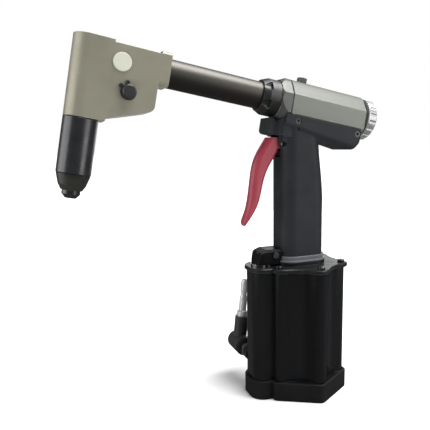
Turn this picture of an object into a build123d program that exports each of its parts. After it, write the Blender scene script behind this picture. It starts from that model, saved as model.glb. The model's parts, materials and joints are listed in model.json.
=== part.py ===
from build123d import *
import math
import os

# Air hydraulic riveter with a right-angle head, in millimetres and degrees.
# It is drawn with the nose towards +X and turned half round about Z when it is written,
# so that the finished part has its nose towards -X. The origin is the middle of the underside.

# Clearances
SEAT = 0.05  # round a fixed piece in its seat
RUN = 0.1  # round a shaft, pin or piston in its bore
TOUCH = 0.2  # between a lever and what it pushes
GAP = 0.3  # between other faces that move past each other

# Air cylinder and its boot
CYLINDER_FLATS = 73.6
CYLINDER_CORNER = 9.0
RIM_CORNER = 3.0  # of the boot and the flange
CYLINDER_BORE = 61.0
CYLINDER_LENGTH = 112.0
LOBE_REACH = 17.0  # ahead of the front face
LOBE_WIDTH = 31.4
LOBE_CORNER = 11.0
LOBE_WALL = 4.3
BOOT_WALL = 2.2
BOOT_FLOOR = 3.0
BOOT_HEIGHT = 17.6
BOOT_EDGE = 1.0
FLOOR_THICKNESS = 6.0
SPIGOT = 4.0

# Flange on top of the cylinder and its screws
FLANGE_THICKNESS = 4.2
FLANGE_LIP = 2.2
FLANGE_EDGE = 0.8
SCALLOP_DEPTH = 3.0
HOLLOW_DEPTH = 4.0
HOLLOW_EDGE = 4.5  # rounding where a hollow meets its face
HOLLOW_HALF = 14.5  # half the width of a hollow in a face
CORNERS = 6
SCREW_INSET = 4.3
SCREW_RADIUS = 2.0
SCREW_HEAD_RADIUS = 3.3
SCREW_HEAD_HEIGHT = 2.4
SCREW_HEAD_EDGE = 0.8
SCREW_BITE = 12.0
SCREW_SOCKET_FLATS = 3.0
SCREW_SOCKET_DEPTH = 1.5
COLLAR_LOW_GROW = 2.8
COLLAR_LOW_HEIGHT = 5.1
COLLAR_HIGH_GROW = 1.4
COLLAR_HIGH_HEIGHT = 8.8

# Air piston and ram
PISTON_THICKNESS = 14.0
PISTON_STANDOFF = 4.0
SEAL_WIDTH = 4.0
SEAL_DEPTH = 3.4
RAM_RADIUS = 7.0
RAM_LEAD = 12.0  # how far the ram reaches past its seal at rest
STUD_RADIUS = 5.0
PISTON_NUT_FLATS = 18.0
PISTON_NUT_THICKNESS = 5.0
NUT_POCKET_RADIUS = 13.0
RAM_TUBE_WALL = 2.0
RAM_TUBE_INNER = 8.0
GLAND_WALL = 1.0
GLAND_LENGTH = 8.0
RAM_SEAL_LENGTH = 3.0

# Air valve and inlet
VALVE_BORE_RADIUS = 5.5
SLEEVE_INNER = 3.6
SLEEVE_BOTTOM = 25.0
SPOOL_STEM_RADIUS = 2.0
SPOOL_LAND_HEIGHT = 6.0
SPOOL_LANDS = 3
SPOOL_LAND_PITCH = 20.0
SPOOL_RING_HEIGHT = 1.4
SPOOL_RING_DEPTH = 0.8
VALVE_SPRING_WIRE = 0.5
VALVE_SPRING_TURNS = 7
PORT_RADIUS = 1.8
INLET_HEIGHT = 35.6
INLET_OFFSET = 3.8  # ahead of the valve's axis
INLET_PAD = 7.2
STEM_RADIUS = 5.7
STEM_BORE = 3.0
STEM_BITE = 6.0
STEM_REACH = 12.0
STEM_HEX_FLATS = 12.0
STEM_HEX_THICKNESS = 5.0
ELBOW_RADIUS = 9.3
ELBOW_LENGTH = 25.9
ELBOW_END = 3.6
SOCKET_RADIUS = 6.8
SOCKET_OFFSET = 13.9
SOCKET_HEIGHT = 27.4
NIPPLE_LEAN = 6.0
NIPPLE_LENGTH = 38.0
NIPPLE_RADIUS = 3.9
NIPPLE_COLLAR = 5.2
NIPPLE_COLLAR_HEIGHT = 5.0
NIPPLE_NECK = 3.0
NIPPLE_BORE = 2.2
NIPPLE_THREAD = 8.0
NIPPLE_THREAD_RADIUS = 4.6

# Valve cap and rocker
CAP_FRONT_INSET = 6.6
CAP_HALF = 10.5
CAP_CORNER = 5.5
CAP_HEIGHT = 13.5
CAP_WALL = 3.2
CAP_TOP_WALL = 1.8
CAP_BROW_HEIGHT = 3.4
CAP_BROW_DEPTH = 6.0
CAP_LEAN = 3.0
CAP_SIDE_BEVEL = 2.0
CAP_RING_HEIGHT = 2.0
CAP_RING_RADIUS = 8.0
ROCKER_BEHIND = 11.8  # of the pivot behind the valve
ROCKER_HEIGHT = 10.4  # of the pivot above the flange
ROCKER_HUB = 3.0
ROCKER_ARM = 2.0  # half the height of an arm
ROCKER_HALF = 2.6
ROCKER_NOSE = 2.0
ROCKER_FORK_HALF = 4.6
ROCKER_PIN_RADIUS = 1.5
ROCKER_PIN_HEAD = 2.8
ROCKER_PIN_HEAD_HEIGHT = 1.6

# Handle
GRIP_FRONT = 25.6
GRIP_REAR = 18.1
GRIP_HALF = 17.1
GRIP_CORNER = 12.0
GRIP_WALL = 3.0
WAIST_START_DROP = 84.8  # below the barrel's axis
WAIST_MIDDLE_DROP = 63.8
WAIST_TOP_DROP = 46.8
WAIST_MIDDLE_INSET = 1.7
WAIST_TOP_INSET = 3.7
HANDLE_TOP_INSET = 5.5
SADDLE_HALF = 18.5
SADDLE_FRONT = 22.5
SADDLE_TOP = 12.9  # below the barrel's axis
SADDLE_WAIST = 24.0  # its underside at the front
SADDLE_BOTTOM = 32.7
SADDLE_BEAK_LENGTH = 59.0
SADDLE_BEAK_DROP = 12.0
SADDLE_BEAK_SLOPE = 6.0
SADDLE_EDGE = 4.5
SADDLE_BEAK_CORNER = 7.0
GRIP_BLEND = 4.5  # between the grip and the saddle
FRONT_BLOCK_HALF = 9.0
FRONT_FLARE = 7.0
FRONT_BLOCK_REACH = 36.0
FRONT_BLOCK_TOP = 18.5
FRONT_BLOCK_BOTTOM = 32.2
FRONT_BLOCK_CORNER = 2.5
FRONT_BLOCK_CHIN = 5.0
CHEEK_RADIUS = 3.6
SADDLE_SCREW_DROP = 17.1
SADDLE_SCREW_FRONT = 10.3
SADDLE_SCREW_REAR = 53.7
SADDLE_SCREW_RADIUS = 1.9
SADDLE_SCREW_HEAD = 3.0
SADDLE_SCREW_HEAD_HEIGHT = 2.4
SADDLE_SCREW_RECESS = 0.6
SADDLE_SCREW_BITE = 4.0
SADDLE_SOCKET_FLATS = 2.5
SADDLE_SOCKET_DEPTH = 1.5
VENT_HOLE_RADIUS = 1.6
VENT_HOLE_ALONG = 9.0
VENT_HOLE_DROP = 24.1
VENT_HOLE_DEPTH = 2.0

# Trigger and valve rod
PIVOT_X = 24.0
PIVOT_DROP = 35.0  # below the barrel's axis
TRIGGER_HALF = 6.0
TRIGGER_ROUND = 0.46  # of a section's shorter side
TRIGGER_BOSS = 4.0
TRIGGER_SWEEP = 6.0  # room around the pivot
TRIGGER_PIN_RADIUS = 2.0
TRIGGER_PIN_INSET = 0.3
TRIGGER_TRAVEL = 14.0
TRIGGER_TIP_DROP = 72.0  # below the pivot
TRIGGER_TIP_REACH = 34.6
TRIGGER_POCKET_REACH = 14.9
# Trigger's sections: share of the tip's drop, rear and front as shares of its reach, share of its width
TRIGGER_SECTIONS = (
    (-0.083, 0.0, 0.38, 1.0),
    (0.03, 0.0, 0.535, 1.0),
    (0.11, 0.08, 0.64, 1.0),
    (0.29, 0.32, 0.785, 1.0),
    (0.55, 0.51, 0.868, 1.0),
    (0.76, 0.645, 0.932, 1.0),
    (0.9, 0.82, 1.025, 0.95),
    (0.98, 0.95, 1.07, 0.8),
    (1.02, 1.0, 1.05, 0.5),
)
ROD_ARM = 8.0  # from the trigger's pivot back to the rod
FORK_RADIUS = 3.0
ROD_RADIUS = 2.0
ROD_HEAD_RADIUS = 3.3
ROD_HEAD_HEIGHT = 2.4

# Barrel
BARREL_HEIGHT = 272.0
BARREL_TILT = 10.3
BODY_HALF = 17.4
BODY_TOP = 20.2
BODY_BOTTOM = 20.0
BODY_SHOULDER = 5.4
BODY_HIP = 11.3
FACET_ANGLE = 52.6
BODY_FRONT = 17.9
BODY_REAR = 62.8
BODY_EDGE = 0.6
BODY_REAR_EDGE = 3.0
OIL_BORE = 14.0
NECK_WALL = 3.0
NECK_DROP = 4.2
TUBE_GRIP = 6.0
OIL_PORT_RADIUS = 3.5
COLLAR_GROOVE = 1.0
COLLAR_GROOVE_DEPTH = 3.0
COLLAR_LENGTH = 10.0
COLLAR_REAR_RADIUS = 22.0
COLLAR_FRONT_RADIUS = 17.2
COLLAR_SPIGOT = 9.0
ROD_SEAL_RADIUS = 8.0
ROD_SEAL_LENGTH = 4.0
BOSS_LENGTH = 6.0
BOSS_WALL = 2.7
NUT_LENGTH = 16.4
NUT_RADIUS = 16.4
NUT_CHAMFER = 5.6
NUT_FACE_LIP = 1.8
NUT_NOTCHES = 6
NUT_NOTCH_RADIUS = 5.5
NUT_NOTCH_DEPTH = 2.6
END_CAP_LENGTH = 9.8
END_CAP_RADIUS = 19.0
END_CAP_CHAMFER = 1.5
END_CAP_SPIGOT = 4.0
END_CAP_FLUTES = 18
END_CAP_FLUTE_RADIUS = 2.2
END_CAP_FLUTE_DEPTH = 1.0
END_CAP_DISH_RADIUS = 11.0
END_CAP_DISH_DEPTH = 2.5
END_RING_WIDTH = 1.6
END_RING_DEPTH = 1.4
OIL_PLUG_ALONG = 4.2
OIL_PLUG_FLATS = 9.0
OIL_PLUG_HEIGHT = 4.6
OIL_PLUG_EDGE = 1.4
OIL_PLUG_RADIUS = 3.0
OIL_PLUG_SEAT_RADIUS = 5.6
OIL_PLUG_SEAT_DROP = 0.6

# Oil piston and pull rod
PULL_ROD_RADIUS = 5.0
OIL_PISTON_NOSE = 8.0
OIL_PISTON_NOSE_LENGTH = 15.0
OIL_PISTON_LENGTH = 14.0
OIL_PISTON_START = 1.0  # behind the collar's spigot at rest
ROD_BITE = 20.0
RETURN_SPRING_WIRE = 1.4
RETURN_SPRING_TURNS = 6

# Extension tube and right-angle head
TUBE_RADIUS = 12.0
TUBE_INNER = 9.0
TUBE_SPIGOT = 5.0
TUBE_FLANGE_LENGTH = 3.0
TUBE_SEAT_LENGTH = 7.0
TUBE_END_RADIUS = 10.8
NOSE_ALONG = 190.7
HEAD_HALF = 13.5
HEAD_COLLAR_TOP = 14.3
HEAD_COLLAR_BOTTOM = 12.4
HEAD_COLLAR_EDGE = 3.0
HEAD_COLLAR_LENGTH = 8.3
HEAD_LENGTH = 53.4  # behind the nose's axis
LEVER_TOP = 11.85
LEVER_SLOPE = 17.9
LEVER_CORNER = 6.5
NOSE_BLOCK_LENGTH = 16.7  # behind the nose's axis
NOSE_BLOCK_TOP = 13.7
NOSE_BLOCK_DROP = 48.6
NOSE_STEP = 2.45  # from the lever's underside down to the nose block's
FULCRUM_BEHIND = 31.1  # from the nose's axis
FULCRUM_DROP = 23.3  # from the barrel's axis
FULCRUM_RADIUS = 5.2
FULCRUM_REACH = 6.8  # outside the housing
FULCRUM_EDGE = 0.8
CLIP_THICKNESS = 1.2
CLIP_GROOVE_DEPTH = 0.8
CLIP_WIDTH = 1.9
CLIP_LUG_RADIUS = 1.7
CLIP_LUG_HOLE = 0.7
CLIP_OPENING = 20.0
CLIP_ANGLE = 56.0
CRANK_LEAN = 7.5  # of the rod's pin ahead of the fulcrum at rest
CRANK_HALF = 4.0
CRANK_HUB = 9.5
CRANK_ARM_WIDTH = 11.0
CRANK_EYE = 6.3
LINK_PIN_RADIUS = 2.75
SLOT_PLAY = 0.3
SLOT_TRAVEL = 0.8
CLEVIS_HALF = 7.5
CLEVIS_HEIGHT = 12.0
CLEVIS_NOSE = 7.0
CLEVIS_TAIL = 12.5
CLEVIS_WEB = 4.0
HEAD_FLOOR_WALL = 2.4
PLUG_RADIUS = 7.2
PLUG_DROP = 1.7  # below the rod's pin
PLUG_STEM_RADIUS = 6.2
PLUG_CAP = 1.2
PLUG_EDGE = 0.7
PLUG_STEM = 3.5
COVER_LENGTH = 26.0
COVER_HALF = 9.0
COVER_THICKNESS = 2.2
COVER_START = 4.5
COVER_SCREW_RADIUS = 1.2
COVER_SCREW_HEAD = 2.1
COVER_SCREW_HEAD_HEIGHT = 1.2
COVER_SCREW_BITE = 5.0
COVER_SCREW_INSET = 3.4

# Nose
SLEEVE_RADIUS = 13.5
SLEEVE_LENGTH = 44.4
SLEEVE_SPIGOT = 6.6
SLEEVE_EDGE = 0.8
SLEEVE_SPIGOT_WALL = 1.7
CASE_RADIUS = 9.0
CONE_LENGTH = 12.5
CONE_TOP_RADIUS = 13.2
CONE_WAIST_RADIUS = 10.7
CONE_WAIST_DROP = 8.4
CONE_END_RADIUS = 8.25
CONE_SPIGOT = 6.0
CONE_SPIGOT_WALL = 1.2
CONE_FLAT_HALF = 11.2
CONE_FLAT_LENGTH = 8.4
CONE_CAVITY = 3.0
TIP_LENGTH = 6.3
TIP_TOP_RADIUS = 7.1
TIP_END_RADIUS = 4.3
TIP_BORE = 1.65
TIP_THREAD_RADIUS = 4.5
TAIL_RADIUS = 2.6
CASE_EYE = 7.0
CASE_SLOT_DEPTH = 10.0
CASE_WEB = 2.8
CASE_STANDOFF = 2.0  # between the case and the cone's shoulder at rest
CASE_MOUTH = 3.6
CASE_LIP = 3.0
JAW_ANGLE = 12.0
JAW_CONE_LENGTH = 14.0
JAW_LENGTH = 11.0
JAW_PLAY = 1.0
JAW_BORE = 2.0
JAWS = 3
PUSHER_FLANGE = 3.6
PUSHER_GUIDE = 7.0
PUSHER_GUIDE_RADIUS = 3.6
PUSHER_BORE = 2.0
JAW_SPRING_WIRE = 0.6
JAW_SPRING_TURNS = 7

# Heights in the base
FLOOR_TOP = BOOT_FLOOR + FLOOR_THICKNESS
FLANGE_BOTTOM = FLOOR_TOP + CYLINDER_LENGTH
FLANGE_TOP = FLANGE_BOTTOM + FLANGE_THICKNESS
APOTHEM = CYLINDER_FLATS / 2
SCREW_CIRCLE = APOTHEM / math.cos(math.radians(180 / CORNERS)) - SCREW_INSET
PISTON_BOTTOM = FLOOR_TOP + SPIGOT + PISTON_STANDOFF
PISTON_TOP = PISTON_BOTTOM + PISTON_THICKNESS
PORT_HEIGHT = FLOOR_TOP + SPIGOT + PORT_RADIUS
VALVE_FLOOR = PORT_HEIGHT - PORT_RADIUS
LOBE_FRONT = APOTHEM + LOBE_REACH
VALVE_X = LOBE_FRONT - LOBE_WALL - VALVE_BORE_RADIUS
INLET_X = VALVE_X + INLET_OFFSET
RAM_TUBE_RADIUS = RAM_TUBE_INNER + RAM_TUBE_WALL
TUBE_BOTTOM = FLANGE_BOTTOM - SPIGOT
GLAND_TOP = TUBE_BOTTOM + GLAND_LENGTH
GLAND_RADIUS = RAM_TUBE_INNER + GLAND_WALL
RAM_TOP = GLAND_TOP + RAM_SEAL_LENGTH + RAM_LEAD

# Handle heights
WAIST_START = BARREL_HEIGHT - WAIST_START_DROP
WAIST_MIDDLE = BARREL_HEIGHT - WAIST_MIDDLE_DROP
WAIST_TOP = BARREL_HEIGHT - WAIST_TOP_DROP
PIVOT_Z = BARREL_HEIGHT - PIVOT_DROP

# Valve train
ROD_X = PIVOT_X - ROD_ARM
ROCKER_Z = FLANGE_TOP + ROCKER_HEIGHT
ROCKER_PIVOT_X = VALVE_X - ROCKER_BEHIND
ROCKER_TURN = ROD_ARM * math.radians(TRIGGER_TRAVEL) / (ROCKER_PIVOT_X - ROD_X)
CAP_BOTTOM = FLANGE_TOP + CAP_RING_HEIGHT
CAP_TOP = FLANGE_TOP + CAP_RING_HEIGHT + CAP_HEIGHT
CAP_FRONT = LOBE_FRONT + FLANGE_LIP - CAP_FRONT_INSET
SPOOL_TOP = ROCKER_Z - ROCKER_NOSE - TOUCH
SPOOL_BOTTOM = SLEEVE_BOTTOM + SEAT
ROD_LOW = ROCKER_Z - ROCKER_ARM - TOUCH
ROD_HIGH = PIVOT_Z + FORK_RADIUS + TOUCH
LOBE_SIDE = LOBE_WIDTH / 2
STEM_END = LOBE_SIDE + STEM_REACH + ELBOW_LENGTH - ELBOW_END
ELBOW_START = LOBE_SIDE + STEM_REACH

# Right-angle head, along the barrel
LEVER_REAR = NOSE_ALONG - HEAD_LENGTH
HEAD_COLLAR_REAR = LEVER_REAR - HEAD_COLLAR_LENGTH
NOSE_BLOCK_REAR = NOSE_ALONG - NOSE_BLOCK_LENGTH

# Barrel frame: X forward along the axis, Z square to it and upward
BARREL = Pos(0, 0, BARREL_HEIGHT) * Rot(0, -BARREL_TILT, 0)
NECK_BOTTOM = BARREL_HEIGHT - BODY_BOTTOM / math.cos(math.radians(BARREL_TILT)) - NECK_DROP
NECK_RADIUS = RAM_TUBE_RADIUS + NECK_WALL
TUBE_TOP = NECK_BOTTOM + TUBE_GRIP
COLLAR_REAR = BODY_FRONT + COLLAR_GROOVE
COLLAR_FRONT = COLLAR_REAR + COLLAR_LENGTH
COLLAR_INNER = BODY_FRONT - COLLAR_SPIGOT
BOSS_RADIUS = TUBE_RADIUS + RUN + BOSS_WALL
BOSS_FRONT = COLLAR_FRONT + BOSS_LENGTH
TUBE_REAR = BOSS_FRONT - TUBE_SPIGOT
TUBE_FLANGE_REAR = BOSS_FRONT + RUN
TUBE_FLANGE_FRONT = TUBE_FLANGE_REAR + TUBE_FLANGE_LENGTH
NUT_FRONT = COLLAR_FRONT + NUT_LENGTH
TUBE_FRONT = HEAD_COLLAR_REAR + TUBE_SEAT_LENGTH
PISTON_FACE = COLLAR_INNER - OIL_PISTON_START
PISTON_LAND = PISTON_FACE - OIL_PISTON_NOSE_LENGTH
PISTON_REAR = PISTON_LAND - OIL_PISTON_LENGTH
CAP_INNER = -BODY_REAR + END_CAP_SPIGOT

# Head linkage
FULCRUM_X = NOSE_ALONG - FULCRUM_BEHIND
LEAN_ANGLE = math.degrees(math.atan2(CRANK_LEAN, FULCRUM_DROP))
ROD_PIN_X = FULCRUM_X + CRANK_LEAN
CASE_PIN_Z = -FULCRUM_DROP - FULCRUM_BEHIND * math.tan(math.radians(LEAN_ANGLE))
CASE_STROKE = 2 * FULCRUM_BEHIND * math.tan(math.radians(LEAN_ANGLE))
CHANNEL_HALF = CLEVIS_HALF + GAP
CRANK_SLOT_HALF = CRANK_HALF + GAP

# Nose heights, along the nose's axis from the barrel's axis
SLEEVE_TOP = -NOSE_BLOCK_DROP
SLEEVE_END = SLEEVE_TOP - SLEEVE_LENGTH
CONE_END = SLEEVE_END - CONE_LENGTH
TIP_END = CONE_END - TIP_LENGTH
CASE_BORE = CASE_RADIUS + GAP
CASE_BOTTOM = SLEEVE_END + CASE_STANDOFF
CASE_TOP = CASE_PIN_Z + CASE_EYE
CASE_SLOT_FLOOR = CASE_PIN_Z - CASE_SLOT_DEPTH
SPRING_ROOF = CASE_SLOT_FLOOR - CASE_WEB
CASE_CONE_END = CASE_BOTTOM + CASE_LIP
CASE_CONE_TOP = CASE_CONE_END + JAW_CONE_LENGTH
CASE_INNER = CASE_MOUTH + JAW_CONE_LENGTH * math.tan(math.radians(JAW_ANGLE))
JAW_SHIFT = GAP / math.cos(math.radians(JAW_ANGLE))
JAW_TOP = CASE_CONE_TOP
JAW_BOTTOM = JAW_TOP - JAW_LENGTH
PUSHER_BOTTOM = JAW_TOP + GAP
PUSHER_FLANGE_TOP = PUSHER_BOTTOM + PUSHER_FLANGE
NOSE = BARREL * Pos(NOSE_ALONG, 0, 0)
TURN = Rot(0, 0, 180)

PARTS = {}


def pillar(radius, bottom, top, x=0, y=0):
    """Upright round bar."""
    return Pos(x, y, (bottom + top) / 2) * Cylinder(radius, top - bottom)


def bar(radius, rear, front, y=0, z=0):
    """Round bar along X."""
    return Pos((rear + front) / 2, y, z) * Rot(0, 90, 0) * Cylinder(radius, front - rear)


def cross_bar(radius, right, left, x, z):
    """Round bar along Y."""
    return Pos(x, (right + left) / 2, z) * Rot(90, 0, 0) * Cylinder(radius, left - right)


def brick(x, y, z):
    """Box between a pair of limits on each axis."""
    middle = [(low + high) / 2 for low, high in (x, y, z)]
    size = [high - low for low, high in (x, y, z)]
    return Pos(*middle) * Box(*size)


def slab(face, bottom, top):
    """Flat face drawn out upward between two heights."""
    return Pos(0, 0, bottom) * extrude(face, amount=top - bottom)


def plate(face, half):
    """Side outline, drawn as (x, z), spread to both sides of the middle plane."""
    return extrude(Plane.XZ * face, amount=half, both=True)


def outline(*points):
    """Closed face with straight sides."""
    return make_face(Polyline(*points, close=True))


def turned(*points):
    """Body of revolution about Z from (radius, height) corners."""
    return revolve(Plane.XZ * outline(*points), Axis.Z)


def turned_along(*points):
    """Body of revolution about X from (radius, along) corners."""
    return Rot(0, 90, 0) * turned(*points)


def coil(radius, wire, bottom, top, turns):
    """Round-wire spring about Z between two seats."""
    rise = top - bottom - 2 * wire
    path = Helix(rise / turns, rise, radius)
    section = Plane(origin=path @ 0, z_dir=path % 0) * Circle(wire)
    return Pos(0, 0, bottom + wire) * sweep(section, path=path, is_frenet=True)


def hexagon(flats, turn=0):
    """Six-sided face with the given distance across its flats."""
    return Rot(0, 0, turn) * RegularPolygon(flats / 2, CORNERS, major_radius=False)


def hollow_radius(depth):
    """Radius of the arc that hollows a face to the given depth."""
    return (HOLLOW_HALF**2 + depth**2) / (2 * depth)


def base_outline(grow=0, hollow=0, corner=RIM_CORNER):
    """Six-sided cylinder outline with its front lobe, grown all round, with hollowed faces."""
    body = hexagon(CYLINDER_FLATS + 2 * grow, 180 / CORNERS)
    body = fillet(body.vertices(), corner + grow)
    if hollow:
        centre = APOTHEM + grow - hollow + hollow_radius(hollow)
        for side in range(1, CORNERS):
            body -= Rot(0, 0, side * 360 / CORNERS) * Pos(centre, 0) * Circle(hollow_radius(hollow))
        rim = math.hypot(APOTHEM + grow, HOLLOW_HALF)
        ends = body.vertices().filter_by(lambda end: abs(math.hypot(end.X, end.Y) - rim) < GAP)
        body = fillet(ends, HOLLOW_EDGE)
    reach = LOBE_FRONT + grow
    lobe = Pos(reach / 2, 0) * RectangleRounded(reach, LOBE_WIDTH + 2 * grow, LOBE_CORNER + grow)
    return body + lobe


def grip_outline(grow=0, rear=GRIP_REAR):
    """Rounded section of the grip, grown all round."""
    depth = GRIP_FRONT + rear
    section = RectangleRounded(depth + 2 * grow, 2 * (GRIP_HALF + grow), GRIP_CORNER + grow)
    return Pos((GRIP_FRONT - rear) / 2, 0) * section


def grip_solid(grow, bottom, top):
    """Grip with its waist, grown all round, between the foot and the given height."""
    straight = slab(grip_outline(grow), bottom, WAIST_START)
    stations = [
        (WAIST_START, 0),
        (WAIST_MIDDLE, WAIST_MIDDLE_INSET),
        (WAIST_TOP, WAIST_TOP_INSET),
    ]
    if top > WAIST_TOP:
        stations.append((top, HANDLE_TOP_INSET))
    faces = [Pos(0, 0, height) * grip_outline(grow, GRIP_REAR - inset) for height, inset in stations]
    return straight + loft(faces)


def body_section(grow=0):
    """Cross-section of the body, drawn as (side, up), grown all round."""
    tilt = math.radians(FACET_ANGLE)
    half = BODY_HALF + grow
    rise = BODY_SHOULDER + math.tan(tilt) * half - BODY_TOP - grow
    crown = rise / (math.tan(tilt) * math.sin(tilt) - 1 + math.cos(tilt))
    edge = crown * math.sin(tilt)
    edge_height = BODY_TOP + grow - crown * (1 - math.cos(tilt))
    bottom = -BODY_BOTTOM - grow
    hip = half - (BODY_BOTTOM - BODY_HIP)
    sides = Polyline(
        (edge, edge_height),
        (half, BODY_SHOULDER),
        (half, -BODY_HIP),
        (hip, bottom),
        (-hip, bottom),
        (-half, -BODY_HIP),
        (-half, BODY_SHOULDER),
        (-edge, edge_height),
    )
    top = ThreePointArc((-edge, edge_height), (0, BODY_TOP + grow), (edge, edge_height))
    return make_face([*sides.edges(), *top.edges()])


def body_bar(rear, front, grow=0):
    """Length of the body's section along the barrel."""
    return Pos(rear, 0, 0) * extrude(Plane.YZ * body_section(grow), amount=front - rear)


def corner_spots(radius, bottom, top):
    """Upright bars at the corners of the base, on the screw circle."""
    return [spot * pillar(radius, bottom, top) for spot in screw_circle()]


def screw_circle():
    """Places of the corner screws."""
    return PolarLocations(SCREW_CIRCLE, CORNERS, start_angle=180 / CORNERS)


def base_boot():
    outside = slab(base_outline(BOOT_WALL + SEAT), 0, BOOT_HEIGHT)
    rims = outside.edges().group_by(Axis.Z)
    outside = fillet(rims[0] + rims[-1], BOOT_EDGE)
    return outside - slab(base_outline(SEAT), BOOT_FLOOR, BOOT_HEIGHT)


def cylinder_floor():
    disc = slab(base_outline(), BOOT_FLOOR, FLOOR_TOP)
    disc += pillar(CYLINDER_BORE / 2 - SEAT, FLOOR_TOP, FLOOR_TOP + SPIGOT)
    disc -= corner_spots(SCREW_RADIUS + SEAT, BOOT_FLOOR, FLOOR_TOP)
    return disc - corner_spots(SCREW_HEAD_RADIUS + SEAT, BOOT_FLOOR, BOOT_FLOOR + SCREW_HEAD_HEIGHT)


def floor_screws():
    head_top = BOOT_FLOOR + SCREW_HEAD_HEIGHT
    heads = corner_spots(SCREW_HEAD_RADIUS, BOOT_FLOOR, head_top)
    shanks = corner_spots(SCREW_RADIUS, head_top, FLOOR_TOP + SCREW_BITE)
    return Compound(children=[head + shank for head, shank in zip(heads, shanks)])


def air_cylinder():
    shell = slab(base_outline(corner=CYLINDER_CORNER), FLOOR_TOP, BOOT_HEIGHT)
    shell += slab(base_outline(0, HOLLOW_DEPTH, CYLINDER_CORNER), BOOT_HEIGHT, FLANGE_BOTTOM)
    shell += cross_bar(INLET_PAD, -LOBE_SIDE, -LOBE_SIDE / 2, INLET_X, INLET_HEIGHT)
    shell -= pillar(CYLINDER_BORE / 2, FLOOR_TOP, FLANGE_BOTTOM)
    shell -= pillar(VALVE_BORE_RADIUS, VALVE_FLOOR, FLANGE_BOTTOM, x=VALVE_X)
    shell -= bar(PORT_RADIUS, 0, VALVE_X, z=PORT_HEIGHT)
    shell -= cross_bar(STEM_RADIUS + SEAT, -LOBE_SIDE, STEM_BITE - LOBE_SIDE, INLET_X, INLET_HEIGHT)
    shell -= cross_bar(STEM_BORE, -LOBE_SIDE, 0, INLET_X, INLET_HEIGHT)
    shell -= corner_spots(SCREW_RADIUS + SEAT, FLOOR_TOP, FLOOR_TOP + SCREW_BITE)
    return shell - corner_spots(SCREW_RADIUS + SEAT, FLANGE_BOTTOM - SCREW_BITE, FLANGE_BOTTOM)


def cylinder_cover():
    cover = slab(base_outline(FLANGE_LIP, SCALLOP_DEPTH), FLANGE_BOTTOM, FLANGE_TOP)
    rims = cover.edges().group_by(Axis.Z)
    cover = chamfer(rims[0] + rims[-1], FLANGE_EDGE)
    for grow, height in ((COLLAR_LOW_GROW, COLLAR_LOW_HEIGHT), (COLLAR_HIGH_GROW, COLLAR_HIGH_HEIGHT)):
        step = slab(grip_outline(grow), FLANGE_TOP, FLANGE_TOP + height)
        cover += fillet(step.edges().group_by(Axis.Z)[-1], FLANGE_EDGE)
    cover -= slab(grip_outline(SEAT), FLANGE_TOP, FLANGE_TOP + COLLAR_HIGH_HEIGHT)
    notch = CAP_HALF + SEAT
    cover -= brick((0, CAP_FRONT), (-notch, notch), (FLANGE_TOP, FLANGE_TOP + COLLAR_HIGH_HEIGHT))
    cover += pillar(CYLINDER_BORE / 2 - SEAT, FLANGE_BOTTOM - SPIGOT, FLANGE_BOTTOM)
    cover -= pillar(RAM_TUBE_RADIUS + SEAT, FLANGE_BOTTOM - SPIGOT, FLANGE_TOP)
    cover -= pillar(SPOOL_STEM_RADIUS + GAP, FLANGE_BOTTOM, FLANGE_TOP, x=VALVE_X)
    return cover - corner_spots(SCREW_RADIUS + SEAT, FLANGE_BOTTOM, FLANGE_TOP)


def flange_screws():
    head_top = FLANGE_TOP + SCREW_HEAD_HEIGHT
    head = pillar(SCREW_HEAD_RADIUS, FLANGE_TOP, head_top)
    screw = fillet(head.edges().group_by(Axis.Z)[-1], SCREW_HEAD_EDGE)
    screw += pillar(SCREW_RADIUS, FLANGE_BOTTOM - SCREW_BITE, FLANGE_TOP)
    screw -= slab(hexagon(SCREW_SOCKET_FLATS), head_top - SCREW_SOCKET_DEPTH, head_top)
    return Compound(children=[spot * screw for spot in screw_circle()])


def air_piston():
    radius = CYLINDER_BORE / 2
    middle = (PISTON_BOTTOM + PISTON_TOP) / 2
    low = middle - SEAL_WIDTH / 2 - SEAT
    high = middle + SEAL_WIDTH / 2 + SEAT
    disc = pillar(radius - RUN, PISTON_BOTTOM, PISTON_TOP)
    disc -= pillar(radius, low, high) - pillar(radius - SEAL_DEPTH - SEAT, low, high)
    disc -= pillar(NUT_POCKET_RADIUS, PISTON_BOTTOM, PISTON_BOTTOM + PISTON_NUT_THICKNESS + GAP)
    return disc - pillar(STUD_RADIUS + SEAT, PISTON_BOTTOM, PISTON_TOP)


def air_piston_seal():
    middle = (PISTON_BOTTOM + PISTON_TOP) / 2
    low = middle - SEAL_WIDTH / 2
    high = middle + SEAL_WIDTH / 2
    outside = CYLINDER_BORE / 2 - SEAT
    return pillar(outside, low, high) - pillar(CYLINDER_BORE / 2 - SEAL_DEPTH, low, high)


def ram():
    return pillar(RAM_RADIUS, PISTON_TOP, RAM_TOP) + pillar(STUD_RADIUS, PISTON_BOTTOM + GAP, PISTON_TOP)


def piston_nut():
    low = PISTON_BOTTOM + GAP
    high = low + PISTON_NUT_THICKNESS
    return slab(hexagon(PISTON_NUT_FLATS), low, high) - pillar(STUD_RADIUS + SEAT, low, high)


def ram_tube():
    tube = pillar(RAM_TUBE_RADIUS, TUBE_BOTTOM, TUBE_TOP) - pillar(RAM_TUBE_INNER, TUBE_BOTTOM, TUBE_TOP)
    return tube - pillar(GLAND_RADIUS + SEAT, TUBE_BOTTOM, GLAND_TOP + RAM_SEAL_LENGTH)


def ram_gland():
    return pillar(GLAND_RADIUS, TUBE_BOTTOM, GLAND_TOP) - pillar(RAM_RADIUS + RUN, TUBE_BOTTOM, GLAND_TOP)


def ram_seal():
    top = GLAND_TOP + RAM_SEAL_LENGTH
    return pillar(GLAND_RADIUS, GLAND_TOP, top) - pillar(RAM_RADIUS + RUN, GLAND_TOP, top)


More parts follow.
